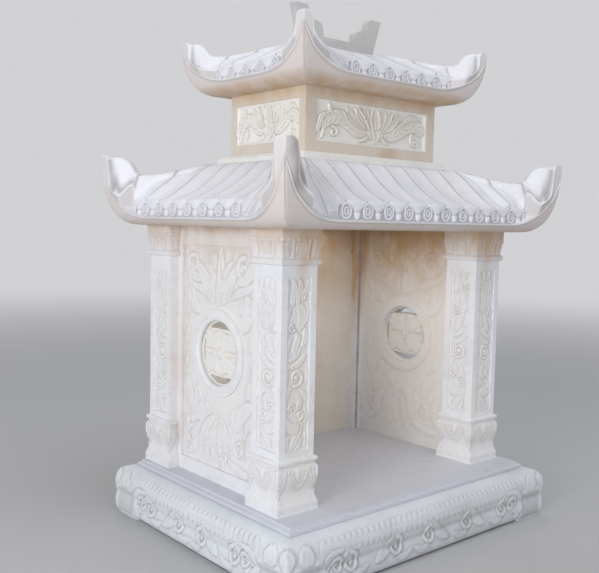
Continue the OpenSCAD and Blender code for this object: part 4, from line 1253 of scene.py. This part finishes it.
    @staticmethod
    def spaced(values, gap, kept):
        """Sorted values without those nearer than gap to the one before or to a kept one."""
        values = values[[all(abs(v - q) > gap for q in kept) for v in values]]
        chosen = []
        for v in values:
            if not chosen or v - chosen[-1] >= gap:
                chosen.append(v)
        return np.sort(np.concatenate([chosen, kept]))

    def outer_path(self, k, a, u, inset, edge_at, nose):
        """Plain course of a section up the prow, over the gutter and up the wall, as insets and heights.

        Also the numbers of its points at the lip and at the wall's foot.
        """
        lip = float(np.interp(a, *self.lips))
        start = float(np.interp(-a, -self.prow[1], self.prow[0])) if a < self.deep else 0.0
        z_face = np.linspace(start, lip, 160)
        face = np.stack([np.interp(z_face, *self.prow), z_face], 1)
        face[0, 0] = min(a, self.deep)
        at_lip = face[-1, 0]
        gutter = np.stack([np.linspace(at_lip, max(inset, at_lip + 0.01), 30), np.full(30, lip)], 1)[1:]
        begin = min(edge_at + 0.02, self.inner_end(k, a))
        top_edge = float(self.surface(k, np.array(a), np.array(begin), np.array(u))[0])
        z_wall = np.linspace(lip, max(top_edge, lip + 6), 90)[1:]
        b_wall = np.maximum(
            np.interp(z_wall, *self.prow), inset - nose * eased((z_wall - self.tile + 15) / 5)
        )
        path = np.concatenate([face, gutter, np.stack([b_wall, z_wall], 1)])
        return path, len(face) - 1, len(face) + 28

    @staticmethod
    def stops(lip, foot, end):
        """Lengths along a course where its rows lie, given those at the lip, the wall's foot and the end."""
        near_lip = np.array([-7, -4.6, -3, -1.8, -0.8, 0, 0.8, 1.8, 3.0, 4.6, 7.0])
        under = np.linspace(0, 1, 15)[:-1] ** 0.8 * max(lip + near_lip[0], 0.1)
        beyond = np.linspace(lip + near_lip[-1], max(foot, lip + near_lip[-1]), 4)[1:]
        climb = np.array([0.12, 0.25, 0.4, 0.55, 0.68, 0.78, 0.86, 0.92, 0.96, 1.0])
        climb = beyond[-1] + max(end - beyond[-1], 1.0) * climb
        return np.maximum.accumulate(np.clip(np.concatenate([under, lip + near_lip, beyond, climb]), 0, end))

    @staticmethod
    def heading(path, arc, stops):
        """Unit direction of a course at its rows, smoothed over nine points."""
        fine = np.gradient(path, arc + np.arange(len(arc)) * 1e-9, axis=0)
        kernel = np.ones(9) / 9
        way = np.stack([
            np.interp(stops, arc, np.convolve(np.pad(fine[:, i], 4, mode="edge"), kernel, "valid"))
            for i in (0, 1)
        ], 1)
        return way / np.maximum(np.linalg.norm(way, axis=1, keepdims=True), 1e-6)

    def outer_rows(self, k, a, u, inset, edge_at, nose):
        """Carved rows of a section from the soffit to the wall's edge.

        Gives their distance along, inset, height, share of dust and painted shade, and share of the
        underside's tone.
        """
        path, at_lip, at_foot = self.outer_path(k, a, u, inset, edge_at, nose)
        arc = np.concatenate([[0], np.cumsum(np.linalg.norm(np.diff(path, axis=0), axis=1))])
        lip, foot, end, lip_height = arc[at_lip], arc[at_foot], arc[-1], path[at_lip, 1]
        stops = self.stops(lip, foot, end)
        b, z = np.interp(stops, arc, path[:, 0]), np.interp(stops, arc, path[:, 1])
        way = self.heading(path, arc, stops)
        # bead on the lip between two grooves, and the rim round a horn
        push = 2.7 * np.exp(-(((stops - lip) / 2.4) ** 2)) * min(1.0, a / 12)
        by_horn = float(eased((a - 30) / 5) * eased((108 - a) / 14))
        push = push + 4.4 * np.exp(-(((stops - end) / 3.6) ** 2)) * by_horn
        push = push - 0.7 * np.exp(-(((stops - lip - 6.5) / 2.0) ** 2))
        push = push - 1.2 * np.exp(-(((stops - lip + 5.6) / 2.0) ** 2)) * min(1.0, a / 20)
        b, z = np.maximum(b - push * way[:, 1], 0.05), z + push * way[:, 0]
        # thin groove down the arris under the horn
        off = np.maximum(a - b, 0) / math.sqrt(2)
        under_horn = (a < self.deep) * eased((z - 6) / 20)
        dip = 2.4 * np.exp(-((off / 3.2) ** 2)) * under_horn * eased((0.8 * self.height - z) / 40)
        above_foot = stops > foot + 1
        plain = bool(self.long_end(k, u)) and a < self.plain_length(k)
        # share of dust and painted shade: down the arris groove, in the grooves beside the lip's bead, along
        # the foot of the fascia, on the wall behind the lip and on the wall beside a horn
        dust_and_shade = np.max([
            0.7 * np.exp(-((off / 3.0) ** 2)) * under_horn * (z < lip_height + 2),
            0.55 * np.exp(-(((stops - lip - 6.5) / 2.2) ** 2)),
            0.6 * np.exp(-(((stops - lip + 5.6) / 2.2) ** 2)),
            0.5 * eased((a - 150) / 60) * eased((6 - z) / 8),
            np.where(above_foot & (stops < end - 8) & (a > 112), 0.30 if plain else 0.70, 0.0),
            np.where(above_foot & (stops < end - 5) & (38 < a) & (a < 104), 0.45, 0.0),
        ], axis=0)
        # share of the underside's tone, part stone colour and part painted shade: full under the lip, and
        # 0.55 up the wall beside a horn, where it is painted shade
        on_horn = float(eased((118 - a) / 20))
        under = np.maximum(eased((lip - stops) / 9 + 0.3), 0.55 * on_horn * eased((end - 2 - stops) / 4))
        return a + dip, b + dip, z, dust_and_shade, under

    def upper_rows(self, k, a, u, edge_at):
        """Rows of a section from the wall's edge to the foot of the horn's flank, up it and over its top."""
        end = self.inner_end(k, a)
        begin = edge_at + 0.02
        foot = crown = end
        if a < self.side(k)[3]:
            far = np.linspace(0, end, 300)
            s, square = self.hip_place(k, np.full(300, a), far)
            square = square - self.thickness(s)
            foot, crown = float(np.interp(-5.0, -square, far)), float(np.interp(9.0, -square, far))
        foot, crown = min(max(foot, begin), end), min(max(crown, begin), end)
        begin = min(begin, end)
        reach = foot - begin
        close = np.array([0.8, 1.8, 3.2, 5.2, 8.0, 11.0, 14.5, 18.5, 23.0, 28.5])
        shares = np.concatenate([[0.0], np.minimum(close / max(reach, 60.0), 0.5)])
        shares = np.concatenate([shares, np.linspace(shares[-1], 1, 22)[1:]])
        b = np.concatenate([
            begin + reach * shares, np.linspace(foot, crown, 11)[1:], np.linspace(crown, end, 8)[1:]
        ])
        z, dust_and_shade = self.surface(k, np.full(len(b), a), b, np.full(len(b), u))
        return np.full(len(b), a), b, z, dust_and_shade, np.zeros(len(b))

    def section(self, k, u):
        """One section of side k from the soffit to the top: along, inset, height, dust and painted shade, and
        underside tone.
        """
        half = self.side(k)[0]
        a = half - abs(u)
        inset, edge, nose = (float(x) for x in self.wall(k, a, u))
        edge_at = max(inset - nose, float(np.interp(edge, *self.prow)))
        outer, upper = self.outer_rows(k, a, u, inset, edge_at, nose), self.upper_rows(k, a, u, edge_at)
        inward, b, z, dust_and_shade, under = (np.concatenate(pair) for pair in zip(outer, upper))
        return (1.0 if u > 0 else -1.0) * (half - inward), b, z, dust_and_shade, under

    def shell(self):
        """The whole roof as one closed skin: its four sides, the soffit and the flat top."""
        rings, dusts, shades, soffit, top = [], [], [], [], []
        start = 0
        for k in range(4):
            half, reach, _, run_end = self.side(k)
            columns = self.columns(k)
            parts = [self.section(k, u) for u in columns]
            along, b, z, dust_and_shade, shade = (np.stack(x, 1) for x in zip(*parts))
            rings.append(to_points(k, along, b, z + self.foot, reach * 0.001, self.middle_y * 0.001))
            dusts.append(dust_and_shade)
            shades.append(shade)
            a = half - np.abs(columns)
            spots = start + np.arange(len(columns))
            soffit.append(spots[a >= self.deep - 1e-6])
            top.append(spots[a >= run_end - 1e-6])
            start += len(columns)
        points = np.concatenate(rings, 1)
        rows, count = points.shape[:2]
        caps = [np.concatenate(soffit)[::-1], np.concatenate(top) + (rows - 1) * count]
        layers = (np.concatenate(values, 1).ravel() for values in (dusts, shades))
        return welded(points.reshape(-1, 3), grid_faces(rows, count, wrap=True), caps, *layers)


def welded(points, quads, caps, *layers):
    """Joins points that coincide, and drops the corners and faces that vanish by it."""
    key = np.round(points * 2e5).astype(np.int64)
    _, first, where = np.unique(key, axis=0, return_index=True, return_inverse=True)
    where = where.ravel()
    quads = where[quads]
    same = quads == np.roll(quads, 1, axis=1)
    crossed = (quads[:, 0] == quads[:, 2]) | (quads[:, 1] == quads[:, 3])
    whole = quads[~same.any(1) & ~crossed]
    three = (same.sum(1) == 1) & ~crossed
    corners = [q[kept] for q, kept in zip(quads[three], ~same[three])]
    for cap in caps:
        cap = where[cap]
        corners.append(cap[cap != np.roll(cap, 1)])
    return points[first], whole, corners, *(values[first] for values in layers)


def facing(k, spot):
    """Matrix that stands a flat piece, drawn in x and y with its front at +z, on side k of the house."""
    out = np.array([(0, -1, 0), (1, 0, 0), (0, 1, 0), (-1, 0, 0)][k], float)
    up = np.array((0, 0, 1.0))
    right = np.cross(up, out)
    return np.column_stack([right, up, out, spot])


def end_spots(roof, k, shift, height):
    """Places along side k of the row ends, shift of a pitch further along than the grooves."""
    first, last, _, stretch = roof.rows[k]
    at = np.array([roof.row_at(k, i) for i in range(first, last + (shift == 0))])
    at = at + shift * roof.pitch * stretch
    reach = roof.side(k)[1]
    spots = to_points(k, at, roof.band, roof.foot + height, reach * 0.001, roof.middle_y * 0.001)
    return [facing(k, spot) for spot in spots]


def row_ends(roof, k, radius):
    """Oval medallions on the wall behind the lip, one under each groove between the tile bands."""
    narrow = 0.85
    r = radius * narrow
    profile = [
        (r * 1.0, -0.003), (r * 1.0, 0.0026), (r * 0.95, 0.0048), (r * 0.85, 0.0056), (r * 0.75, 0.0046),
        (r * 0.68, 0.0012), (r * 0.60, 0.0010), (r * 0.53, 0.0038), (r * 0.42, 0.0050), (r * 0.31, 0.0040),
        (r * 0.25, 0.0010), (r * 0.18, 0.0008), (r * 0.12, 0.0030), (0.0, 0.0036),
    ]
    # share of dust and painted shade on each ring of the medallion
    mark = [0.8, 0.5, 0.1, 0.1, 0.3, 0.7, 0.7, 0.3, 0.1, 0.3, 0.7, 0.7, 0.3, 0.2]
    p, q, c, m = turned(profile, 24, mark)
    oval = (p * (1.0, 1 / narrow, 1.0), q, c, m)
    return repeated(oval, end_spots(roof, k, 0.0, (roof.lip + roof.tile) / 2))


def tongues(roof, k, drop):
    """Pointed ends of the bands over the wall, each with a small rounded tongue under it.

    The half width follows the table; each row of the piece is domed, and the middle stands out most.
    """
    outline = np.array([
        (4.0, 33.0), (0.0, 32.0), (-5.0, 28.0), (-10.0, 22.5), (-15.0, 16.5), (-19.0, 12.0), (-22.0, 9.5),
        (-24.0, 8.8), (-26.0, 9.4), (-30.0, 9.4), (-35.0, 8.6), (-39.0, 7.0), (-42.0, 4.6), (-44.0, 1.2),
    ])
    scale = drop * 1000 / 44.0
    y, wide = outline[:, :1] * scale, outline[:, 1:] * roof.pitch / 75.5
    a = np.linspace(-1, 1, 15)[None, :]
    notch = np.exp(-(((y / scale + 24) / 2.0) ** 2))
    high = (3.6 + 3.4 * np.sqrt(np.clip(1 - a ** 2, 0, 1)) - 2.4 * notch) * np.clip((6 - y) / 4, 0.2, 1)
    high = high * np.clip((y + 46 * scale) / 5, 0.5, 1)
    points = np.stack([a * wide, y + 0 * a, high], -1) * 0.001
    # dust and painted shade in the tongue's notch
    part = carved_skin(points, (0, 0, -0.010), 0.5 * notch + 0 * a)
    return repeated(part, end_spots(roof, k, 0.5, roof.tile - 4.0))


# OPERATORS


def sizes():
    """The sizes that the panel shows."""
    return bpy.context.scene.spirit_house_sizes


# Marble of each packed stone, by how its node's name begins
STONES = (
    (("pillar", "capital", "wall_left", "wall_right", "window"), "cream_marble"),
    (("drum_frame", "drum_panel", "wall_back"), "warm_marble"),
    (("drum_ledge",), "panel_marble"),
    (("floor_slab",), "floor_marble"),
    (("ridge",), "ridge_marble"),
    (("lower_eave", "upper_eave"), "eave_marble"),
    (("",), "white_marble"),
)


class SPIRITHOUSE_OT_marbles(bpy.types.Operator):
    """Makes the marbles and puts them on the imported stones."""

    bl_idname = "spirithouse.marbles"
    bl_label = "Marbles"

    def execute(self, context):
        look = context.scene.spirit_house_colours
        chamber = []
        for side in (-1, 1):
            chamber += [
                (look.inner, (side * 0.376, 0.02, 0.56), (0.046, 0.60, 0.85), 0.95),
                (look.stain, (side * 0.376, 0.02, 0.93), (0.046, 0.50, 0.36), 1.5),
                (look.stain, (side * 0.335, 0.234, 0.86), (0.05, 0.05, 0.42), 1.3),
                (look.dust_and_shade, (side * 0.341, 0.219, 0.5), (0.010, 0.012, 1.6), 1.2),
            ]
        under_roof = [
            (look.stain, (0.0, 0.0, 0.906), (1.2, 1.2, 0.046), 0.75),
            (look.stain, (0.0, -0.315, 0.868), (0.9, 0.045, 0.090), 0.85),
            (look.stain, (0.0, 0.0, 0.88), (1.2, 1.2, 0.085), 0.50),
        ]
        pillars = [
            (look.stain, (-0.42, 0.205, 0.56), (0.05, 0.05, 0.60), 0.30),
            (look.warm, (-0.387, -0.31, 0.42), (0.09, 0.03, 0.20), 0.55),
            (look.warm, (-0.387, -0.31, 0.22), (0.09, 0.05, 0.10), 0.40),
        ]
        box_and_back = [
            # along the box's top under the upper eave: ochre stain and painted shade
            (look.stain, (0.0, 0.0, 1.285), (0.9, 0.9, 0.045), 0.70),
            (look.stain, (-0.235, -0.17, 1.19), (0.10, 0.10, 0.16), 0.15),
            (look.stain, (0.06, -0.17, 1.115), (0.06, 0.04, 0.04), 0.65),
            (look.inner, (0.0, 0.26, 0.45), (0.8, 0.10, 0.80), 0.9),
            (look.stain, (0.0, 0.26, 0.93), (0.8, 0.10, 0.40), 1.15),
        ]
        plinth = [
            # painted shade over the plinth's front, darker towards its foot
            (look.dust_and_shade, (0.0, -0.46, 0.04), (1.0, 0.20, 0.13), 0.35),
            (look.dust_and_shade, (0.42, -0.40, 0.16), (0.10, 0.12, 0.03), 0.35),
        ]
        # ochre stain and painted warm shade on the roofs' soffits
        soffit_stain_and_shade = [
            (look.stain, (0.0, 0.0, 0.893), (1.3, 1.3, 0.030), 0.55),
            (look.stain, (0.0, 0.0, 1.282), (0.9, 0.9, 0.040), 1.0),
        ]
        # painted shade on the flank beside the near lower horn
        near_horn_shade = [
            (look.flank, (-0.520, -0.452, 1.088), (0.040, 0.026, 0.075), 1.0),
            (look.flank, (-0.505, -0.442, 1.020), (0.040, 0.024, 0.060), 0.8),
        ]
        # the front panel's carving is painted warmer and darker than the others, a painted shade
        lotus = [(look.warm, (0.0, -0.17, 1.19), (0.30, 0.02, 0.09), 0.6)]
        marble("white_marble", look.white, look.dust_and_shade)
        marble("plinth_marble", look.plinth, look.dust_and_shade, plinth)
        marble("cream_marble", look.cream, look.tan_dust_and_shade, chamber + under_roof + pillars)
        marble("warm_marble", look.warm, look.dust_and_shade, box_and_back)
        marble("panel_marble", look.panel, look.tan_dust_and_shade, lotus)
        marble("eave_marble", look.eave, look.dust_and_shade, soffit_stain_and_shade)
        marble("floor_marble", look.floor, look.dust_and_shade, roughness=0.38, cloud=0.06)
        marble("roof_marble", look.white, look.dust_and_shade, soffit_stain_and_shade + near_horn_shade, under=look.eave)
        marble("ridge_marble", look.ridge, look.dust_and_shade)
        for node, stone in frame["nodes"].items():
            stone.data.materials.clear()
            kind = next(kind for starts, kind in STONES if node.startswith(starts))
            stone.data.materials.append(MARBLES[kind])
        return {"FINISHED"}


def roofs():
    """The two roofs, with the sizes that their stones were cut to."""
    s = sizes()
    lower = Roof(
        "lower", half=(558.0, 445.0), height=210.0, lip=22.0, tile=74.0, top=189.0, run=(264.0, 244.0),
        slope=LOWER_SLOPE, horn=(84, 52, 262), thick=(26.0, 27.0), pitch=s.lower_pitch * 1000,
        rows=((-4, 6, 0.08, 1.013), (-4, 5, 0.5, 1), (-6, 6, 0.0, 1), (-4, 3, 0.5, 1)),
    )
    upper = Roof(
        "upper", half=(372.0, 283.0), height=160.0, lip=33.0, tile=78.0, top=155.0, run=(238.0, 258.5),
        slope=UPPER_SLOPE, horn=(65, 36, 246), thick=(22.0, 21.0), pitch=s.upper_pitch * 1000,
        rows=((-2, 4, 0.0, 1), (-2, 3, 0.5, 1), (-4, 4, 0.0, 1), (-2, 2, 0.5, 1)),
    )
    return lower, upper


class SPIRITHOUSE_OT_roofs(bpy.types.Operator):
    """Carves both roofs whole: prows, lips, horns and the grooved slopes between them."""

    bl_idname = "spirithouse.roofs"
    bl_label = "Roofs"

    def execute(self, context):
        for roof in roofs():
            *part, shade = roof.shell()
            stones = [n for n in frame["nodes"] if n.startswith(f"{roof.which}_")]
            name = f"{roof.which}_roof_shell"
            add_piece(name, part, "roof_marble", "white_marble", 50, stones, shade)
        return {"FINISHED"}


class SPIRITHOUSE_OT_row_ends(bpy.types.Operator):
    """Carves the medallions and the pointed ends of the tile bands along the eaves."""

    bl_idname = "spirithouse.row_ends"
    bl_label = "Row ends"

    def execute(self, context):
        s = sizes()
        for roof in roofs():
            for kind, make, size in (
                ("medallions", row_ends, s.medallion), ("tongues", tongues, s.drip_drop)
            ):
                part = joined([make(roof, k, size) for k in range(4)])
                add_piece(f"{roof.which}_{kind}", part, "white_marble")
        return {"FINISHED"}


class SPIRITHOUSE_OT_box_carving(bpy.types.Operator):
    """Carves the lotus on the four panels of the box between the roofs."""

    bl_idname = "spirithouse.box_carving"
    bl_label = "Box carving"

    def execute(self, context):
        lift = sizes().panel_relief / 0.007
        for k, side in enumerate(SIDES):
            low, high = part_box(f"drum_panel_{side}")
            half, reach = BOX_SIDES[k % 2]
            field = (half, -BOX_PANEL_HALF, BOX_PANEL_HALF, 2.1)
            where = (8.0, reach, BOX_MIDDLE_Y, (low.z + high.z) * 500)
            part = panel(k, field, LOTUS, where, lift, half / 228.0, 5.5, (0.0, 0.16))
            add_piece(f"box_carving_{side}", part, "panel_marble", "cream_marble")
        return {"FINISHED"}


class SPIRITHOUSE_OT_pillar_carving(bpy.types.Operator):
    """Carves the climbing leaves on the pillars, and the petals and leaves of their feet and capitals."""

    bl_idname = "spirithouse.pillar_carving"
    bl_label = "Pillar carving"

    def execute(self, context):
        s = sizes()
        for where, (sx, sy) in CORNERS.items():
            middle = (sx * PILLAR_MIDDLE[0], 1000 * MIDDLE_Y + sy * PILLAR_MIDDLE[1])
            faces = [0 if sy < 0 else 2, 3 if sx < 0 else 1]
            if sy < 0:
                faces.append(1 if sx < 0 else 3)
            parts = []
            for k in faces:
                climb = mirrored(VINE) if (k + (sx > 0)) % 2 else VINE
                p, *rest = panel(k, VINE_FIELD, climb, VINE_AT, s.vine_relief / 0.004)
                parts.append((p + np.array([*middle, 0]) * 0.001, *rest))
            add_piece(f"vine_{where}", joined(parts), "cream_marble")
            lift = s.petal_relief / 0.005
            for kind, curve, petals, (foot, tall) in (
                ("pillar_foot", FOOT_CURVE, FOOT_PETALS, FOOT_SPAN),
                ("capital", CAPITAL_CURVE, CAPITAL_PETALS, CAPITAL_SPAN),
            ):
                p, *rest = square_wrap(curve, tall, petals, lift, middle, foot)
                if sy > 0:
                    p = out_of_chamber(p, sx)
                stone = f"{kind}_{where}"
                add_piece(f"carved_{stone}", (p, *rest), "cream_marble", crease=50, replaces=[stone])
            if sy > 0:
                add_piece(f"chamber_post_{where}", chamber_post(sx), "cream_marble")
        return {"FINISHED"}


class SPIRITHOUSE_OT_wall_carving(bpy.types.Operator):
    """Carves the leaves and clouds of the side walls, the rings round the windows and their flowers."""

    bl_idname = "spirithouse.wall_carving"
    bl_label = "Wall carving"

    def execute(self, context):
        lift = sizes().wall_relief / 0.0045
        for k, side in ((3, "left"), (1, "right")):
            outer = wall_carving(k, OUTER_WALL_FIELD, OUTER_WALL_AT, lift, k == 1)
            add_piece(f"wall_carving_{side}", outer, "cream_marble")
            inner = wall_carving(4 - k, INNER_WALL_FIELD, INNER_WALL_AT, 0.75 * lift, k == 3)
            add_piece(f"inner_wall_carving_{side}", inner, "cream_marble")
            for kind, part, reaches in (
                ("ring", moulded_ring(RING_PROFILE, 112), RINGS_AT), ("petals", flower_face(), PETALS_AT)
            ):
                parts = []
                for turn, reach in zip((k, 4 - k), reaches):
                    spot = on_side(turn, 0.0, 0.0, WINDOW_HEIGHT, reach, MIDDLE_Y).reshape(3)
                    parts.append(repeated(part, [facing(turn, spot)]))
                add_piece(f"window_{kind}_{side}", joined(parts), "cream_marble")
        return {"FINISHED"}


class SPIRITHOUSE_OT_plinth_carving(bpy.types.Operator):
    """Carves the petals, clouds and leg panels round the plinth."""

    bl_idname = "spirithouse.plinth_carving"
    bl_label = "Plinth carving"

    def execute(self, context):
        lift = sizes().plinth_relief / 0.008
        parts = [plinth_side(k, lift) for k in range(4)]
        stones = [n for n in frame["nodes"] if n.startswith("base_")]
        add_piece("plinth_carving", joined(parts), "plinth_marble", "white_marble", replaces=stones)
        for i, part in enumerate(plinth_core()):
            add_piece(f"plinth_core_{i}", part, "plinth_marble", "white_marble")
        return {"FINISHED"}


# STAGE


# Lamps: name, place, what it faces, width, how bright white stone facing it becomes, and tint
LAMPS = (
    ("key_light", (-4.4, -1.8, 1.3), (0, 0, 0.7), 1.9, 0.43, (1.0, 0.995, 0.99)),
    ("fill_light", (-1.1, -4.6, 1.1), (0, 0, 0.55), 2.2, 0.06, (0.98, 0.99, 1.0)),
    ("chamber_light", (0.02, 0.03, 0.885), (0.02, 0.0301, 0.2), 0.36, 0.13, (1.0, 0.99, 0.97)),
    ("top_light", (0.2, -1.8, 4.8), (0, 0, 0.8), 2.6, 0.25, (0.95, 0.975, 1.0)),
    ("back_light", (1.3, 3.0, 5.0), (0, 0, 0.8), 3.0, 0.10, (1.0, 1.0, 1.0)),
)
# The photograph's own camera: place in metres, turns in degrees and lens in mm
VIEW_SPOT = (-1.7008, -1.8440, 0.9101)
VIEW_YAW, VIEW_PITCH, VIEW_ROLL = 40.4225, 4.4708, 1.1802
VIEW_LENS = 48.395
FLOOR_RADIUS = 14.0


def placed(thing, right, up, back, spot):
    """Puts a lamp or camera, which looks along its -z, in the scene."""
    turn = np.eye(4)
    turn[:3] = np.column_stack([right, up, back, spot])
    thing.matrix_world = Matrix(turn.tolist())
    bpy.context.scene.collection.objects.link(thing)


class SPIRITHOUSE_OT_stage(bpy.types.Operator):
    """Sets the plain floor, the soft studio light and the camera."""

    bl_idname = "spirithouse.stage"
    bl_label = "Studio"

    def execute(self, context):
        scene = context.scene
        look = scene.spirit_house_colours
        scene.view_settings.view_transform = "Standard"
        self.floor(look)
        self.world(scene, look)
        for lamp in LAMPS:
            self.lamp(*lamp)
        self.camera(scene)
        return {"FINISHED"}

    def floor(self, look):
        """Round floor, in rings that widen outwards."""
        around = 96
        rings = np.concatenate([[0.3], FLOOR_RADIUS * np.linspace(0.1, 1, 10) ** 1.5])
        angle = np.linspace(0, 2 * np.pi, around, endpoint=False)
        points = np.stack([
            rings[:, None] * np.cos(angle), rings[:, None] * np.sin(angle), np.zeros((len(rings), around))
        ], -1).reshape(-1, 3)
        mesh = bpy.data.meshes.new("studio_floor")
        faces = grid_faces(len(rings), around, wrap=True).tolist() + [list(range(around))[::-1]]
        mesh.from_pydata(points.tolist(), [], faces)
        s = Shader("studio_floor")
        flat = s.node("ShaderNodeVectorMath", {"operation": "MULTIPLY"}, {0: s.place(), 1: (1, 1, 0)})
        far = s.ease(s.span(flat), 2.0, 9.0)
        s.finish.inputs["Base Color"].default_value = (*look.ground, 1.0)
        s.finish.inputs["Roughness"].default_value = 0.8
        glow = s.tree.nodes.new("ShaderNodeEmission")
        glow.inputs["Color"].default_value = (*look.backdrop, 1.0)
        seen = s.node("ShaderNodeLightPath", {}, {}, "Is Camera Ray")
        mixed = s.tree.nodes.new("ShaderNodeMixShader")
        s.join(mixed.inputs[0], far * seen)
        s.tree.links.new(s.finish.outputs[0], mixed.inputs[1])
        s.tree.links.new(glow.outputs[0], mixed.inputs[2])
        s.tree.links.new(mixed.outputs[0], s.tree.nodes["Material Output"].inputs["Surface"])
        mesh.materials.append(s.material)
        floor = bpy.data.objects.new("studio_floor", mesh)
        bpy.context.scene.collection.objects.link(floor)

    def world(self, scene, look):
        """Soft sky for the light, and a plain backdrop for the camera."""
        world = bpy.data.worlds.new("studio")
        scene.world = world
        world.use_nodes = True
        tree = world.node_tree
        tree.nodes.clear()
        sky, back = tree.nodes.new("ShaderNodeBackground"), tree.nodes.new("ShaderNodeBackground")
        sky.inputs["Color"].default_value = (0.97, 0.985, 1.0, 1.0)
        sky.inputs["Strength"].default_value = 0.42
        back.inputs["Color"].default_value = (*look.backdrop, 1.0)
        path, mixed = tree.nodes.new("ShaderNodeLightPath"), tree.nodes.new("ShaderNodeMixShader")
        out = tree.nodes.new("ShaderNodeOutputWorld")
        tree.links.new(path.outputs["Is Camera Ray"], mixed.inputs[0])
        tree.links.new(sky.outputs[0], mixed.inputs[1])
        tree.links.new(back.outputs[0], mixed.inputs[2])
        tree.links.new(mixed.outputs[0], out.inputs["Surface"])

    def lamp(self, name, spot, aim, size, level, tint):
        """A square soft box. level is how bright white stone facing it becomes."""
        gap = np.asarray(aim, float) - spot
        far = float(np.linalg.norm(gap))
        data = bpy.data.lights.new(name, "AREA")
        data.size = size
        data.energy = level * math.pi ** 2 * far ** 2
        data.color = tint
        back = -gap / far
        right = np.cross((0, 0, 1), back)
        right /= np.linalg.norm(right)
        placed(bpy.data.objects.new(name, data), right, np.cross(back, right), back, spot)

    def camera(self, scene):
        """The photograph's own viewpoint, worked out from the house's straight edges."""
        yaw, pitch, roll = (math.radians(a) for a in (VIEW_YAW, VIEW_PITCH, VIEW_ROLL))
        right = np.array((math.cos(yaw), -math.sin(yaw), 0.0))
        ahead = np.array((
            math.sin(yaw) * math.cos(pitch), math.cos(yaw) * math.cos(pitch), -math.sin(pitch)
        ))
        tilted = math.cos(roll) * right + math.sin(roll) * np.cross(right, ahead)
        data = bpy.data.cameras.new("photo_view")
        data.sensor_width = 36.0
        data.lens = VIEW_LENS
        data.clip_start = 0.05
        camera = bpy.data.objects.new("photo_view", data)
        placed(camera, tilted, np.cross(tilted, ahead), -ahead, VIEW_SPOT)
        scene.camera = camera


class SPIRITHOUSE_PT_panel(bpy.types.Panel):
    """Lists the sizes and colours of the spirit house, and buttons for its steps."""

    bl_label = "Spirit House"
    bl_idname = "SPIRITHOUSE_PT_panel"
    bl_space_type = "VIEW_3D"
    bl_region_type = "UI"
    bl_category = "Spirit House"

    def draw(self, context):
        layout = self.layout
        for group in (context.scene.spirit_house_sizes, context.scene.spirit_house_colours):
            box = layout.box()
            for key in group.bl_rna.properties.keys():
                if key not in ("rna_type", "name"):
                    box.prop(group, key)
        for step in STEPS:
            layout.operator(step.bl_idname)


STEPS = (
    SPIRITHOUSE_OT_marbles,
    SPIRITHOUSE_OT_roofs,
    SPIRITHOUSE_OT_row_ends,
    SPIRITHOUSE_OT_box_carving,
    SPIRITHOUSE_OT_pillar_carving,
    SPIRITHOUSE_OT_wall_carving,
    SPIRITHOUSE_OT_plinth_carving,
    SPIRITHOUSE_OT_stage,
)
CLASSES = (SpiritHouseSizes, SpiritHouseColours, *STEPS, SPIRITHOUSE_PT_panel)
def register():
    for cls in CLASSES:
        bpy.utils.register_class(cls)
    bpy.types.Scene.spirit_house_sizes = bpy.props.PointerProperty(type=SpiritHouseSizes)
    bpy.types.Scene.spirit_house_colours = bpy.props.PointerProperty(type=SpiritHouseColours)


def unregister():
    del bpy.types.Scene.spirit_house_colours
    del bpy.types.Scene.spirit_house_sizes
    for cls in reversed(CLASSES):
        bpy.utils.unregister_class(cls)


def main():
    register()
    bpy.ops.spirithouse.marbles()
    bpy.ops.spirithouse.roofs()
    bpy.ops.spirithouse.row_ends()
    bpy.ops.spirithouse.box_carving()
    bpy.ops.spirithouse.pillar_carving()
    bpy.ops.spirithouse.wall_carving()
    bpy.ops.spirithouse.plinth_carving()
    bpy.ops.spirithouse.stage()


if __name__ == "__main__":
    main()
